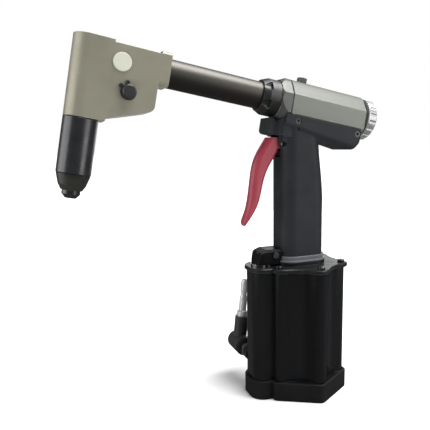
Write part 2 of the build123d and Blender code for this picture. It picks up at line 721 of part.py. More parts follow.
def valve_sleeve():
    sleeve = pillar(VALVE_BORE_RADIUS - SEAT, SLEEVE_BOTTOM, FLANGE_BOTTOM, x=VALVE_X)
    sleeve -= pillar(SLEEVE_INNER, SLEEVE_BOTTOM, FLANGE_BOTTOM, x=VALVE_X)
    return sleeve - cross_bar(STEM_BORE, -VALVE_BORE_RADIUS, 0, VALVE_X, INLET_HEIGHT)


def land_heights():
    """Lower edges of the spool's lands."""
    return [SPOOL_BOTTOM + land * SPOOL_LAND_PITCH for land in range(SPOOL_LANDS)]


def ring_limits(land):
    """Lower and upper edge of the ring in the middle of a land."""
    low = land + (SPOOL_LAND_HEIGHT - SPOOL_RING_HEIGHT) / 2
    return low, low + SPOOL_RING_HEIGHT


def valve_spool():
    spool = pillar(SPOOL_STEM_RADIUS, SPOOL_BOTTOM, SPOOL_TOP, x=VALVE_X)
    for land in land_heights():
        low, high = ring_limits(land)
        spool += pillar(SLEEVE_INNER - RUN, land, land + SPOOL_LAND_HEIGHT, x=VALVE_X)
        groove = pillar(SLEEVE_INNER, low - SEAT, high + SEAT, x=VALVE_X)
        spool -= groove - pillar(SLEEVE_INNER - SPOOL_RING_DEPTH - SEAT, low - SEAT, high + SEAT, x=VALVE_X)
    return spool


def spool_rings():
    rings = []
    for land in land_heights():
        low, high = ring_limits(land)
        inside = pillar(SLEEVE_INNER - SPOOL_RING_DEPTH, low, high, x=VALVE_X)
        rings.append(pillar(SLEEVE_INNER - SEAT, low, high, x=VALVE_X) - inside)
    return Compound(children=rings)


def valve_spring():
    radius = SLEEVE_INNER - GAP - VALVE_SPRING_WIRE
    spring = coil(radius, VALVE_SPRING_WIRE, VALVE_FLOOR, SPOOL_BOTTOM, VALVE_SPRING_TURNS)
    return Pos(VALVE_X, 0, 0) * spring


def inlet_stem():
    inner = STEM_BITE - LOBE_SIDE
    stem = cross_bar(STEM_RADIUS, -STEM_END, inner, INLET_X, INLET_HEIGHT)
    face = Plane(origin=(INLET_X, -LOBE_SIDE, INLET_HEIGHT), z_dir=(0, -1, 0))
    stem += extrude(face * hexagon(STEM_HEX_FLATS), amount=STEM_HEX_THICKNESS)
    return stem - cross_bar(STEM_BORE, -STEM_END, inner, INLET_X, INLET_HEIGHT)


def inlet_frame():
    """Place of the swivel's axis, leaning as the elbow stands at rest."""
    return Pos(INLET_X, -ELBOW_START - SOCKET_OFFSET, INLET_HEIGHT) * Rot(0, -NIPPLE_LEAN, 0)


def swivel_elbow():
    end = ELBOW_START + ELBOW_LENGTH
    elbow = cross_bar(ELBOW_RADIUS, -end, -ELBOW_START, INLET_X, INLET_HEIGHT)
    elbow = fillet(elbow.edges().sort_by(Axis.Y)[0], ELBOW_RADIUS / 3)
    elbow += inlet_frame() * pillar(SOCKET_RADIUS, 0, SOCKET_HEIGHT)
    elbow -= cross_bar(STEM_RADIUS + RUN, -STEM_END - GAP, -ELBOW_START, INLET_X, INLET_HEIGHT)
    elbow -= inlet_frame() * pillar(NIPPLE_BORE, 0, SOCKET_HEIGHT)
    thread_bottom = SOCKET_HEIGHT - NIPPLE_THREAD
    return elbow - inlet_frame() * pillar(NIPPLE_THREAD_RADIUS + SEAT, thread_bottom, SOCKET_HEIGHT)


def air_nipple():
    low = SOCKET_HEIGHT
    collar = low + NIPPLE_COLLAR_HEIGHT
    top = low + NIPPLE_LENGTH
    groove = top - NIPPLE_LENGTH / 3
    nipple = turned(
        (NIPPLE_BORE, low - NIPPLE_THREAD),
        (NIPPLE_THREAD_RADIUS, low - NIPPLE_THREAD),
        (NIPPLE_THREAD_RADIUS, low),
        (NIPPLE_COLLAR, low),
        (NIPPLE_COLLAR, collar),
        (NIPPLE_RADIUS, collar + NIPPLE_COLLAR - NIPPLE_RADIUS),
        (NIPPLE_RADIUS, groove - 2 * NIPPLE_NECK),
        (NIPPLE_NECK, groove - NIPPLE_NECK),
        (NIPPLE_NECK, groove),
        (NIPPLE_RADIUS, groove + NIPPLE_NECK / 2),
        (NIPPLE_RADIUS, top - NIPPLE_NECK),
        (NIPPLE_NECK, top),
        (NIPPLE_BORE, top),
    )
    return inlet_frame() * nipple


def cap_outline():
    """Outline of the valve cap in plan, before the handle is cut out of it."""
    return Pos(CAP_FRONT / 2, 0) * RectangleRounded(CAP_FRONT, 2 * CAP_HALF, CAP_CORNER)


def valve_cap_ring():
    ring = pillar(CAP_RING_RADIUS, FLANGE_TOP, CAP_BOTTOM, x=VALVE_X)
    return ring - pillar(SPOOL_STEM_RADIUS + GAP, FLANGE_TOP, CAP_BOTTOM, x=VALVE_X)


def cap_side():
    """Side outline of the valve cap with its sloping brow, drawn as (x, z)."""
    brow = CAP_FRONT - CAP_LEAN
    return outline(
        (0, CAP_BOTTOM),
        (CAP_FRONT, CAP_BOTTOM),
        (brow, CAP_TOP - CAP_BROW_HEIGHT),
        (brow - CAP_BROW_DEPTH, CAP_TOP),
        (0, CAP_TOP),
    )


def cap_end():
    """End outline of the valve cap with its bevelled top edges, drawn as (side, up)."""
    low = CAP_TOP - CAP_SIDE_BEVEL
    flat = CAP_HALF - CAP_SIDE_BEVEL
    return outline(
        (-CAP_HALF, CAP_BOTTOM),
        (CAP_HALF, CAP_BOTTOM),
        (CAP_HALF, low),
        (flat, CAP_TOP),
        (-flat, CAP_TOP),
        (-CAP_HALF, low),
    )


def valve_cap():
    cap = slab(cap_outline(), CAP_BOTTOM, CAP_TOP) & plate(cap_side(), CAP_HALF)
    cap = cap & extrude(Plane.YZ * cap_end(), amount=CAP_FRONT)
    front = VALVE_X + ROCKER_NOSE + GAP
    inside = CAP_HALF - CAP_WALL
    brow = CAP_FRONT - CAP_LEAN - CAP_BROW_DEPTH
    cap -= brick((0, brow), (-inside, inside), (CAP_BOTTOM, CAP_TOP - CAP_TOP_WALL))
    cap -= brick((0, front), (-inside, inside), (CAP_BOTTOM, ROCKER_Z + ROCKER_NOSE + GAP))
    cap -= cross_bar(ROCKER_PIN_RADIUS + SEAT, -CAP_HALF, CAP_HALF, ROCKER_PIVOT_X, ROCKER_Z)
    return cap - slab(grip_outline(SEAT), CAP_BOTTOM, CAP_TOP)


def rocker_pin():
    pin = cross_bar(ROCKER_PIN_RADIUS, -CAP_HALF, CAP_HALF, ROCKER_PIVOT_X, ROCKER_Z)
    head = (CAP_HALF, CAP_HALF + ROCKER_PIN_HEAD_HEIGHT)
    return pin + cross_bar(ROCKER_PIN_HEAD, *head, ROCKER_PIVOT_X, ROCKER_Z)


def valve_rocker():
    front = plate(Pos(ROCKER_PIVOT_X, ROCKER_Z) * Circle(ROCKER_HUB), ROCKER_HALF)
    front += brick(
        (ROCKER_PIVOT_X, VALVE_X),
        (-ROCKER_HALF, ROCKER_HALF),
        (ROCKER_Z - ROCKER_ARM, ROCKER_Z + ROCKER_ARM),
    )
    front += cross_bar(ROCKER_NOSE, -ROCKER_HALF, ROCKER_HALF, VALVE_X, ROCKER_Z)
    relief = ROD_HEAD_RADIUS * math.sin(ROCKER_TURN) + GAP
    rear = brick(
        (ROD_X, ROCKER_PIVOT_X),
        (-ROCKER_FORK_HALF, ROCKER_FORK_HALF),
        (ROCKER_Z - ROCKER_ARM + relief, ROCKER_Z + ROCKER_ARM),
    )
    rear += cross_bar(ROCKER_ARM, -ROCKER_FORK_HALF, ROCKER_FORK_HALF, ROD_X, ROCKER_Z)
    slot_end = ROD_X + ROD_RADIUS + GAP
    slot_half = ROD_RADIUS + GAP
    rear -= brick(
        (ROD_X - ROCKER_ARM, slot_end),
        (-slot_half, slot_half),
        (ROCKER_Z - ROCKER_ARM, ROCKER_Z + ROCKER_ARM),
    )
    hole = cross_bar(ROCKER_PIN_RADIUS + RUN, -ROCKER_FORK_HALF, ROCKER_FORK_HALF, ROCKER_PIVOT_X, ROCKER_Z)
    return front + rear - hole


def valve_rod():
    rod = pillar(ROD_RADIUS, ROD_LOW, ROD_HIGH, x=ROD_X)
    rod += pillar(ROD_HEAD_RADIUS, ROD_LOW - ROD_HEAD_HEIGHT, ROD_LOW, x=ROD_X)
    return rod + pillar(ROD_HEAD_RADIUS, ROD_HIGH, ROD_HIGH + ROD_HEAD_HEIGHT, x=ROD_X)


def trigger_lever():
    """Curved lever through rounded level sections, from the pivot down to the tip."""
    sections = []
    for drop, rear, front, share in TRIGGER_SECTIONS:
        length = (front - rear) * TRIGGER_TIP_REACH
        width = 2 * TRIGGER_HALF * share
        middle = PIVOT_X + (front + rear) / 2 * TRIGGER_TIP_REACH
        section = RectangleRounded(length, width, TRIGGER_ROUND * min(length, width))
        sections.append(Pos(middle, 0, PIVOT_Z - drop * TRIGGER_TIP_DROP) * section)
    return loft(sections)


def trigger():
    lever = trigger_lever()
    lever += cross_bar(TRIGGER_BOSS, -TRIGGER_HALF, TRIGGER_HALF, PIVOT_X, PIVOT_Z)
    arm = brick(
        (ROD_X, PIVOT_X),
        (-TRIGGER_HALF, TRIGGER_HALF),
        (PIVOT_Z - FORK_RADIUS, PIVOT_Z + FORK_RADIUS),
    )
    arm += cross_bar(FORK_RADIUS, -TRIGGER_HALF, TRIGGER_HALF, ROD_X, PIVOT_Z)
    slot_half = ROD_RADIUS + GAP
    slot_end = ROD_X + slot_half + FORK_RADIUS * math.sin(math.radians(TRIGGER_TRAVEL))
    arm -= brick(
        (ROD_X - FORK_RADIUS, slot_end),
        (-slot_half, slot_half),
        (PIVOT_Z - FORK_RADIUS, PIVOT_Z + FORK_RADIUS),
    )
    return lever + arm - cross_bar(TRIGGER_PIN_RADIUS + RUN, -TRIGGER_HALF, TRIGGER_HALF, PIVOT_X, PIVOT_Z)


def trigger_pin():
    half = FRONT_BLOCK_HALF - TRIGGER_PIN_INSET
    return cross_bar(TRIGGER_PIN_RADIUS, -half, half, PIVOT_X, PIVOT_Z)


def saddle():
    """Beam under the body with its overhanging beak, in the barrel's frame."""
    rear = -SADDLE_BEAK_LENGTH
    beak = -SADDLE_TOP - SADDLE_BEAK_DROP
    face = outline(
        (SADDLE_FRONT, -SADDLE_TOP),
        (SADDLE_FRONT, -SADDLE_WAIST),
        (rear + SADDLE_BEAK_SLOPE, -SADDLE_BOTTOM),
        (rear, beak),
        (rear, -SADDLE_TOP),
    )
    low_rear = face.vertices().filter_by(lambda corner: corner.X < rear / 2 and corner.Y < -SADDLE_TOP)
    beam = plate(fillet(low_rear, SADDLE_BEAK_CORNER), SADDLE_HALF)
    ends = beam.faces().filter_by(Axis.Y).edges()
    return fillet(ends.filter_by(is_low_edge), SADDLE_EDGE)


def is_low_edge(edge):
    """True for an edge of the saddle's side below its top and behind its front."""
    middle = edge.center()
    return middle.Z < -SADDLE_TOP and middle.X < SADDLE_FRONT - GAP


def front_block():
    """Block above the trigger, flared back into the saddle, in the barrel's frame."""
    root = FRONT_BLOCK_HALF + FRONT_FLARE
    flare_end = SADDLE_FRONT + FRONT_FLARE
    face = outline(
        (0, -root),
        (SADDLE_FRONT, -root),
        (flare_end, -FRONT_BLOCK_HALF),
        (FRONT_BLOCK_REACH, -FRONT_BLOCK_HALF),
        (FRONT_BLOCK_REACH, FRONT_BLOCK_HALF),
        (flare_end, FRONT_BLOCK_HALF),
        (SADDLE_FRONT, root),
        (0, root),
    )
    face = fillet(face.vertices().group_by(Axis.X)[-1], FRONT_BLOCK_CORNER)
    for side in (-1, 1):
        face -= Pos(flare_end, side * root) * Circle(FRONT_FLARE)
    slope = outline(
        (0, -FRONT_BLOCK_BOTTOM),
        (FRONT_BLOCK_REACH, -FRONT_BLOCK_BOTTOM),
        (FRONT_BLOCK_REACH, -FRONT_BLOCK_TOP),
        (flare_end, -FRONT_BLOCK_TOP),
        (SADDLE_FRONT, -SADDLE_TOP),
        (0, -SADDLE_TOP),
    )
    slope = fillet(slope.vertices().group_by(Axis.X)[-1].sort_by(Axis.Y)[0], FRONT_BLOCK_CHIN)
    return slab(face, -FRONT_BLOCK_BOTTOM, -SADDLE_TOP) & plate(slope, root)


def handle_outside():
    """Grip blended into the saddle, with the front block and the trigger's ears."""
    reach = FRONT_BLOCK_REACH + SADDLE_BEAK_LENGTH
    above = BARREL * brick((-reach, reach), (-reach, reach), (-SADDLE_TOP, BARREL_HEIGHT))
    grip = grip_solid(0, FLANGE_TOP, BARREL_HEIGHT) - above
    beam = BARREL * saddle()
    both = grip + beam
    shell = fillet(new_edges(grip, beam, combined=both), GRIP_BLEND)
    return shell + BARREL * front_block() + cheeks()


def cheeks():
    """Ears that carry the trigger's pin, below the front block."""
    corner = (BARREL * Pos(FRONT_BLOCK_REACH, 0, -FRONT_BLOCK_BOTTOM)).position
    boss_bottom = PIVOT_Z - CHEEK_RADIUS
    face = outline(
        (ROD_X, boss_bottom),
        (PIVOT_X, boss_bottom),
        (PIVOT_X + CHEEK_RADIUS, PIVOT_Z),
        (PIVOT_X + CHEEK_RADIUS, corner.Z),
        (ROD_X, corner.Z),
    )
    return plate(face + Pos(PIVOT_X, PIVOT_Z) * Circle(CHEEK_RADIUS), FRONT_BLOCK_HALF)


def trigger_pocket():
    """Room for the trigger's head and its arm between the cheeks."""
    half = TRIGGER_HALF + GAP
    floor = PIVOT_Z - TRIGGER_SWEEP - GAP
    rear = ROD_X - ROD_HEAD_RADIUS - GAP
    roof = ROD_HIGH + ROD_HEAD_HEIGHT + ROD_ARM * math.sin(math.radians(TRIGGER_TRAVEL)) + GAP
    front = PIVOT_X + TRIGGER_POCKET_REACH
    mouth = PIVOT_X + TRIGGER_TIP_REACH
    throat = PIVOT_Z - 2 * TRIGGER_SWEEP
    swept = PIVOT_X - TRIGGER_SWEEP * math.sin(math.radians(TRIGGER_TRAVEL)) - GAP
    return plate(
        outline(
            (rear, floor),
            (swept, floor),
            (swept, throat),
            (mouth, throat),
            (mouth, PIVOT_Z),
            (front, roof),
            (rear, roof),
        ),
        half,
    )


def saddle_screw_places():
    """Places of the saddle's screws along the barrel."""
    return (SADDLE_SCREW_FRONT, -SADDLE_SCREW_REAR)


def saddle_screw_seat():
    """Lateral place of the face that a saddle screw's head bears on."""
    return SADDLE_HALF - SADDLE_SCREW_RECESS - SADDLE_SCREW_HEAD_HEIGHT


def handle():
    top = BARREL_HEIGHT
    reach = FRONT_BLOCK_REACH + SADDLE_FRONT
    grip = handle_outside()
    grip -= BARREL * body_bar(-BODY_REAR, COLLAR_FRONT + GAP, SEAT)
    grip -= grip_solid(-GRIP_WALL, FLANGE_TOP, WAIST_TOP)
    grip -= pillar(RAM_TUBE_RADIUS + SEAT, FLANGE_TOP, top)
    grip -= pillar(NECK_RADIUS + SEAT, NECK_BOTTOM - SEAT, top)
    grip -= pillar(ROD_RADIUS + RUN, ROD_LOW, PIVOT_Z, x=ROD_X)
    grip -= trigger_pocket()
    grip -= cross_bar(TRIGGER_PIN_RADIUS + SEAT, -GRIP_HALF, GRIP_HALF, PIVOT_X, PIVOT_Z)
    slot = ROCKER_FORK_HALF + GAP
    swing = ROCKER_ARM + ROD_ARM * math.radians(TRIGGER_TRAVEL) + GAP
    grip -= brick((ROD_X, GRIP_FRONT), (-slot, slot), (ROCKER_Z - swing, ROCKER_Z + swing))
    for along in saddle_screw_places():
        grip -= BARREL * cross_bar(SADDLE_SCREW_RADIUS + SEAT, -reach, reach, along, -SADDLE_SCREW_DROP)
        for side in (-1, 1):
            seat = sorted((side * saddle_screw_seat(), side * SADDLE_HALF))
            grip -= BARREL * cross_bar(SADDLE_SCREW_HEAD + SEAT, *seat, along, -SADDLE_SCREW_DROP)
    floor = SADDLE_HALF - VENT_HOLE_DEPTH
    hole = cross_bar(VENT_HOLE_RADIUS, floor, SADDLE_HALF, VENT_HOLE_ALONG, -VENT_HOLE_DROP)
    return grip - BARREL * hole


def saddle_screws():
    screws = []
    inner = BODY_HALF - (SADDLE_SCREW_DROP - BODY_HIP) - SADDLE_SCREW_BITE
    seat = saddle_screw_seat()
    outer = SADDLE_HALF - SADDLE_SCREW_RECESS
    for along in saddle_screw_places():
        for side in (-1, 1):
            shank = sorted((side * inner, side * seat))
            head = sorted((side * seat, side * outer))
            screw = cross_bar(SADDLE_SCREW_RADIUS, *shank, along, -SADDLE_SCREW_DROP)
            screw += cross_bar(SADDLE_SCREW_HEAD, *head, along, -SADDLE_SCREW_DROP)
            face = Plane(origin=(along, side * outer, -SADDLE_SCREW_DROP), z_dir=(0, -side, 0))
            screw -= extrude(face * hexagon(SADDLE_SOCKET_FLATS), amount=SADDLE_SOCKET_DEPTH)
            screws.append(BARREL * screw)
    return Compound(children=screws)


def hydraulic_body():
    length = body_bar(-BODY_REAR, BODY_FRONT)
    length = chamfer(length.edges().group_by(Axis.X)[-1], BODY_EDGE)
    body = BARREL * chamfer(length.edges().group_by(Axis.X)[0], BODY_REAR_EDGE)
    body += pillar(NECK_RADIUS, NECK_BOTTOM, BARREL_HEIGHT)
    body -= BARREL * bar(OIL_BORE, -BODY_REAR, BODY_FRONT)
    body -= pillar(RAM_TUBE_RADIUS + SEAT, NECK_BOTTOM, TUBE_TOP)
    body -= pillar(OIL_PORT_RADIUS, NECK_BOTTOM, BARREL_HEIGHT)
    seat = BODY_TOP - OIL_PLUG_SEAT_DROP
    body -= BARREL * pillar(OIL_PLUG_SEAT_RADIUS, seat, BODY_TOP, x=OIL_PLUG_ALONG)
    body -= BARREL * pillar(OIL_PLUG_RADIUS + SEAT, 0, BODY_TOP, x=OIL_PLUG_ALONG)
    half = BODY_HALF - (SADDLE_SCREW_DROP - BODY_HIP)
    for along in saddle_screw_places():
        for side in (-1, 1):
            depth = sorted((side * BODY_HALF, side * (half - SADDLE_SCREW_BITE)))
            body -= BARREL * cross_bar(SADDLE_SCREW_RADIUS + SEAT, *depth, along, -SADDLE_SCREW_DROP)
    return body


def oil_plug():
    seat = BODY_TOP - OIL_PLUG_SEAT_DROP
    dome = pillar(OIL_PLUG_FLATS / math.sqrt(3), seat, seat + OIL_PLUG_HEIGHT)
    dome = fillet(dome.edges().group_by(Axis.Z)[-1], OIL_PLUG_EDGE)
    head = slab(hexagon(OIL_PLUG_FLATS), seat, seat + OIL_PLUG_HEIGHT) & dome
    plug = head + pillar(OIL_PLUG_RADIUS, OIL_BORE + GAP, seat)
    return BARREL * Pos(OIL_PLUG_ALONG, 0, 0) * plug


def front_collar():
    length = COLLAR_FRONT - COLLAR_REAR
    envelope = Pos((COLLAR_REAR + COLLAR_FRONT) / 2, 0, 0) * Rot(0, 90, 0)
    taper = envelope * Cone(COLLAR_REAR_RADIUS, COLLAR_FRONT_RADIUS, length)
    collar = body_bar(COLLAR_REAR, COLLAR_FRONT) & taper
    collar += bar(BODY_HALF - COLLAR_GROOVE_DEPTH, BODY_FRONT, COLLAR_REAR)
    collar += bar(OIL_BORE - SEAT, COLLAR_INNER, BODY_FRONT)
    collar += bar(BOSS_RADIUS, COLLAR_FRONT, BOSS_FRONT)
    collar -= bar(TUBE_RADIUS + RUN, TUBE_REAR - RUN, BOSS_FRONT)
    collar -= bar(PULL_ROD_RADIUS + RUN, COLLAR_INNER, BOSS_FRONT)
    return BARREL * (collar - bar(ROD_SEAL_RADIUS + SEAT, COLLAR_INNER, COLLAR_INNER + ROD_SEAL_LENGTH))


def rod_seal():
    front = COLLAR_INNER + ROD_SEAL_LENGTH
    hole = bar(PULL_ROD_RADIUS + RUN, COLLAR_INNER, front)
    return BARREL * (bar(ROD_SEAL_RADIUS, COLLAR_INNER, front) - hole)


def coupling_nut():
    inside = BOSS_RADIUS + SEAT
    shoulder = TUBE_FLANGE_FRONT + RUN
    hole = TUBE_RADIUS + RUN
    nut = turned_along(
        (inside, COLLAR_FRONT),
        (NUT_RADIUS, COLLAR_FRONT),
        (NUT_RADIUS, NUT_FRONT - NUT_CHAMFER),
        (hole + NUT_FACE_LIP, NUT_FRONT),
        (hole, NUT_FRONT),
        (hole, shoulder),
        (inside, shoulder),
    )
    for notch in range(NUT_NOTCHES):
        cut = bar(NUT_NOTCH_RADIUS, shoulder, NUT_FRONT, z=NUT_RADIUS + NUT_NOTCH_RADIUS - NUT_NOTCH_DEPTH)
        nut -= Rot(notch * 360 / NUT_NOTCHES, 0, 0) * cut
    return BARREL * nut


def end_cap():
    rear = -BODY_REAR - END_CAP_LENGTH
    cap = turned_along(
        (0, rear),
        (END_CAP_RADIUS - END_CAP_CHAMFER, rear),
        (END_CAP_RADIUS, rear + END_CAP_CHAMFER),
        (END_CAP_RADIUS, -BODY_REAR),
        (OIL_BORE - SEAT, -BODY_REAR),
        (OIL_BORE - SEAT, CAP_INNER),
        (0, CAP_INNER),
    )
    cap -= bar(END_CAP_DISH_RADIUS, rear, rear + END_CAP_DISH_DEPTH)
    low, high = end_ring_limits()
    groove = bar(OIL_BORE, low - SEAT, high + SEAT)
    cap -= groove - bar(OIL_BORE - END_RING_DEPTH - SEAT, low - SEAT, high + SEAT)
    for flute in range(END_CAP_FLUTES):
        centre = END_CAP_RADIUS + END_CAP_FLUTE_RADIUS - END_CAP_FLUTE_DEPTH
        cut = bar(END_CAP_FLUTE_RADIUS, rear, -BODY_REAR - END_CAP_CHAMFER, z=centre)
        cap -= Rot(flute * 360 / END_CAP_FLUTES, 0, 0) * cut
    return BARREL * cap


def end_ring_limits():
    """Rear and front edge of the ring in the end cap's spigot."""
    middle = (CAP_INNER - BODY_REAR) / 2
    return middle - END_RING_WIDTH / 2, middle + END_RING_WIDTH / 2


def end_cap_ring():
    low, high = end_ring_limits()
    return BARREL * (bar(OIL_BORE - SEAT, low, high) - bar(OIL_BORE - END_RING_DEPTH, low, high))


def hydraulic_piston():
    piston = bar(OIL_BORE - RUN, PISTON_REAR, PISTON_LAND) + bar(OIL_PISTON_NOSE, PISTON_LAND, PISTON_FACE)
    low, high = oil_seal_limits()
    groove = bar(OIL_BORE, low - SEAT, high + SEAT)
    piston -= groove - bar(OIL_BORE - SEAL_DEPTH - SEAT, low - SEAT, high + SEAT)
    return BARREL * (piston - bar(PULL_ROD_RADIUS + SEAT, PISTON_FACE - ROD_BITE, PISTON_FACE))


def oil_seal_limits():
    """Rear and front edge of the seal in the oil piston."""
    middle = (PISTON_REAR + PISTON_LAND) / 2
    return middle - SEAL_WIDTH / 2, middle + SEAL_WIDTH / 2


def piston_seal():
    low, high = oil_seal_limits()
    return BARREL * (bar(OIL_BORE - SEAT, low, high) - bar(OIL_BORE - SEAL_DEPTH, low, high))


def return_spring():
    radius = OIL_BORE - 2 * RETURN_SPRING_WIRE
    spring = coil(radius, RETURN_SPRING_WIRE, CAP_INNER, PISTON_REAR, RETURN_SPRING_TURNS)
    return BARREL * Rot(0, 90, 0) * spring


def pull_rod():
    rear = ROD_PIN_X - CLEVIS_TAIL
    front = ROD_PIN_X + CLEVIS_NOSE
    tall = CLEVIS_HEIGHT / 2
    rod = bar(PULL_ROD_RADIUS, PISTON_FACE - ROD_BITE, rear)
    fork = brick((rear, front), (-CLEVIS_HALF, CLEVIS_HALF), (-tall, tall))
    fork -= brick((rear + CLEVIS_WEB, front), (-CRANK_SLOT_HALF, CRANK_SLOT_HALF), (-tall, tall))
    fork -= cross_bar(LINK_PIN_RADIUS + SEAT, -CLEVIS_HALF, CLEVIS_HALF, ROD_PIN_X, 0)
    return BARREL * (rod + fork)


def rod_pin():
    half = CLEVIS_HALF - SEAT
    return BARREL * cross_bar(LINK_PIN_RADIUS, -half, half, ROD_PIN_X, 0)


def extension_tube():
    tube = bar(TUBE_RADIUS, TUBE_REAR, HEAD_COLLAR_REAR)
    tube += bar(TUBE_END_RADIUS, HEAD_COLLAR_REAR, TUBE_FRONT)
    tube += bar(BOSS_RADIUS - SEAT, TUBE_FLANGE_REAR, TUBE_FLANGE_FRONT)
    return BARREL * (tube - bar(TUBE_INNER, TUBE_REAR, TUBE_FRONT))


def lever_floor(along):
    """Height of the housing's sloping underside."""
    rise = (NOSE_BLOCK_REAR - along) * math.tan(math.radians(LEVER_SLOPE))
    return NOSE_STEP - NOSE_BLOCK_DROP + rise


def cover_frame():
    """Frame on the sloping underside: X down the slope, Z into the housing."""
    start = LEVER_REAR + COVER_START
    return Pos(start, 0, lever_floor(start)) * Rot(0, LEVER_SLOPE, 0)


def crank_room():
    """Side outline of the space that the bell crank swings in."""
    reach = math.hypot(CRANK_LEAN, FULCRUM_DROP) + CRANK_EYE + SLOT_TRAVEL + GAP
    long_reach = math.hypot(FULCRUM_BEHIND, FULCRUM_DROP + CASE_PIN_Z) + CRANK_EYE + SLOT_TRAVEL + GAP
    hub = CRANK_HUB + GAP
    roof = reach - FULCRUM_DROP
    eye = CRANK_EYE + GAP
    swing = math.hypot(CRANK_LEAN, CRANK_EYE) + eye
    front = FULCRUM_X + long_reach
    face = outline(
        (FULCRUM_X - swing, roof),
        (FULCRUM_X + swing, roof),
        (FULCRUM_X + swing, 0),
        (front, CASE_PIN_Z + CASE_STROKE + 2 * eye),
        (front, CASE_PIN_Z - 2 * eye),
        (FULCRUM_X, -FULCRUM_DROP - hub),
        (FULCRUM_X - hub, -FULCRUM_DROP),
    )
    floor_rear = lever_floor(LEVER_REAR) + HEAD_FLOOR_WALL
    floor_front = lever_floor(front) + HEAD_FLOOR_WALL
    above_floor = outline((LEVER_REAR, floor_rear), (front, floor_front), (front, roof), (LEVER_REAR, roof))
    return (face + Pos(FULCRUM_X, -FULCRUM_DROP) * Circle(hub)) & above_floor


def head_shell():
    """Outside of the right-angle housing, in the barrel's frame."""
    lever = outline(
        (LEVER_REAR, LEVER_TOP),
        (NOSE_ALONG, LEVER_TOP),
        (NOSE_ALONG, lever_floor(NOSE_BLOCK_REAR)),
        (NOSE_BLOCK_REAR, lever_floor(NOSE_BLOCK_REAR)),
        (LEVER_REAR, lever_floor(LEVER_REAR)),
    )
    low_corner = lever.vertices().group_by(Axis.X)[0].sort_by(Axis.Y)[0]
    shell = plate(fillet(low_corner, LEVER_CORNER), HEAD_HALF)
    drop = (-NOSE_BLOCK_DROP, NOSE_BLOCK_TOP)
    shell += brick((NOSE_BLOCK_REAR, NOSE_ALONG), (-HEAD_HALF, HEAD_HALF), drop)
    shell += pillar(HEAD_HALF, *drop, x=NOSE_ALONG)
    section = RectangleRounded(2 * HEAD_HALF, HEAD_COLLAR_TOP + HEAD_COLLAR_BOTTOM, HEAD_COLLAR_EDGE)
    section = Pos(0, (HEAD_COLLAR_TOP - HEAD_COLLAR_BOTTOM) / 2) * section
    collar = extrude(Plane.YZ * section, amount=HEAD_COLLAR_LENGTH)
    return shell + Pos(HEAD_COLLAR_REAR, 0, 0) * collar


def head_housing():
    head = head_shell()
    head -= bar(TUBE_END_RADIUS + SEAT, HEAD_COLLAR_REAR, TUBE_FRONT)
    tall = CLEVIS_HEIGHT / 2 + GAP
    channel_front = ROD_PIN_X + CLEVIS_NOSE + GAP
    head -= brick((TUBE_FRONT, channel_front), (-CHANNEL_HALF, CHANNEL_HALF), (-tall, tall))
    head -= plate(crank_room(), CRANK_SLOT_HALF)
    roof = CASE_TOP + CASE_STROKE + GAP
    head -= pillar(CASE_BORE, -NOSE_BLOCK_DROP, roof, x=NOSE_ALONG)
    spigot = CASE_BORE + SLEEVE_SPIGOT_WALL + SEAT
    head -= pillar(spigot, SLEEVE_TOP, SLEEVE_TOP + SLEEVE_SPIGOT, x=NOSE_ALONG)
    head -= cross_bar(FULCRUM_RADIUS + SEAT, -HEAD_HALF, HEAD_HALF, FULCRUM_X, -FULCRUM_DROP)
    head -= cross_bar(PLUG_STEM_RADIUS + SEAT, -HEAD_HALF, HEAD_HALF, ROD_PIN_X, -PLUG_DROP)
    half = COVER_HALF + SEAT
    deep = (-COVER_THICKNESS, COVER_THICKNESS)
    head -= cover_frame() * brick((-SEAT, COVER_LENGTH + SEAT), (-half, half), deep)
    mouth = (COVER_SCREW_INSET * 2, COVER_LENGTH - COVER_SCREW_INSET * 2)
    head -= cover_frame() * brick(mouth, (-CRANK_SLOT_HALF, CRANK_SLOT_HALF), (0, CRANK_HUB))
    for spot in cover_screw_spots():
        end = COVER_THICKNESS + COVER_SCREW_BITE
        head -= cover_frame() * spot * pillar(COVER_SCREW_RADIUS + SEAT, 0, end)
    return BARREL * head


def cover_screw_spots():
    """Places of the cover's screws in its own frame."""
    ends = (COVER_SCREW_INSET, COVER_LENGTH - COVER_SCREW_INSET)
    side = COVER_HALF - COVER_SCREW_INSET
    return [Pos(end, way * side, 0) for end in ends for way in (-1, 1)]


def lever_cover():
    cover = brick((0, COVER_LENGTH), (-COVER_HALF, COVER_HALF), (0, COVER_THICKNESS))
    for spot in cover_screw_spots():
        cover -= spot * pillar(COVER_SCREW_RADIUS + SEAT, 0, COVER_THICKNESS)
        cover -= spot * pillar(COVER_SCREW_HEAD + SEAT, 0, COVER_SCREW_HEAD_HEIGHT)
    return BARREL * cover_frame() * cover


def lever_cover_screws():
    screw = pillar(COVER_SCREW_HEAD, 0, COVER_SCREW_HEAD_HEIGHT)
    screw += pillar(COVER_SCREW_RADIUS, COVER_SCREW_HEAD_HEIGHT, COVER_THICKNESS + COVER_SCREW_BITE - SEAT)
    return Compound(children=[BARREL * cover_frame() * spot * screw for spot in cover_screw_spots()])


def access_plugs():
    plugs = []
    for side in (-1, 1):
        cap = sorted((side * HEAD_HALF, side * (HEAD_HALF + PLUG_CAP)))
        stem = sorted((side * HEAD_HALF, side * (HEAD_HALF - PLUG_STEM)))
        disc = cross_bar(PLUG_RADIUS, *cap, ROD_PIN_X, -PLUG_DROP)
        rim = disc.edges().filter_by(GeomType.CIRCLE).sort_by(Axis.Y)[::side][-1]
        plug = fillet(rim, PLUG_EDGE) + cross_bar(PLUG_STEM_RADIUS, *stem, ROD_PIN_X, -PLUG_DROP)
        plugs.append(BARREL * plug)
    return Compound(children=plugs)


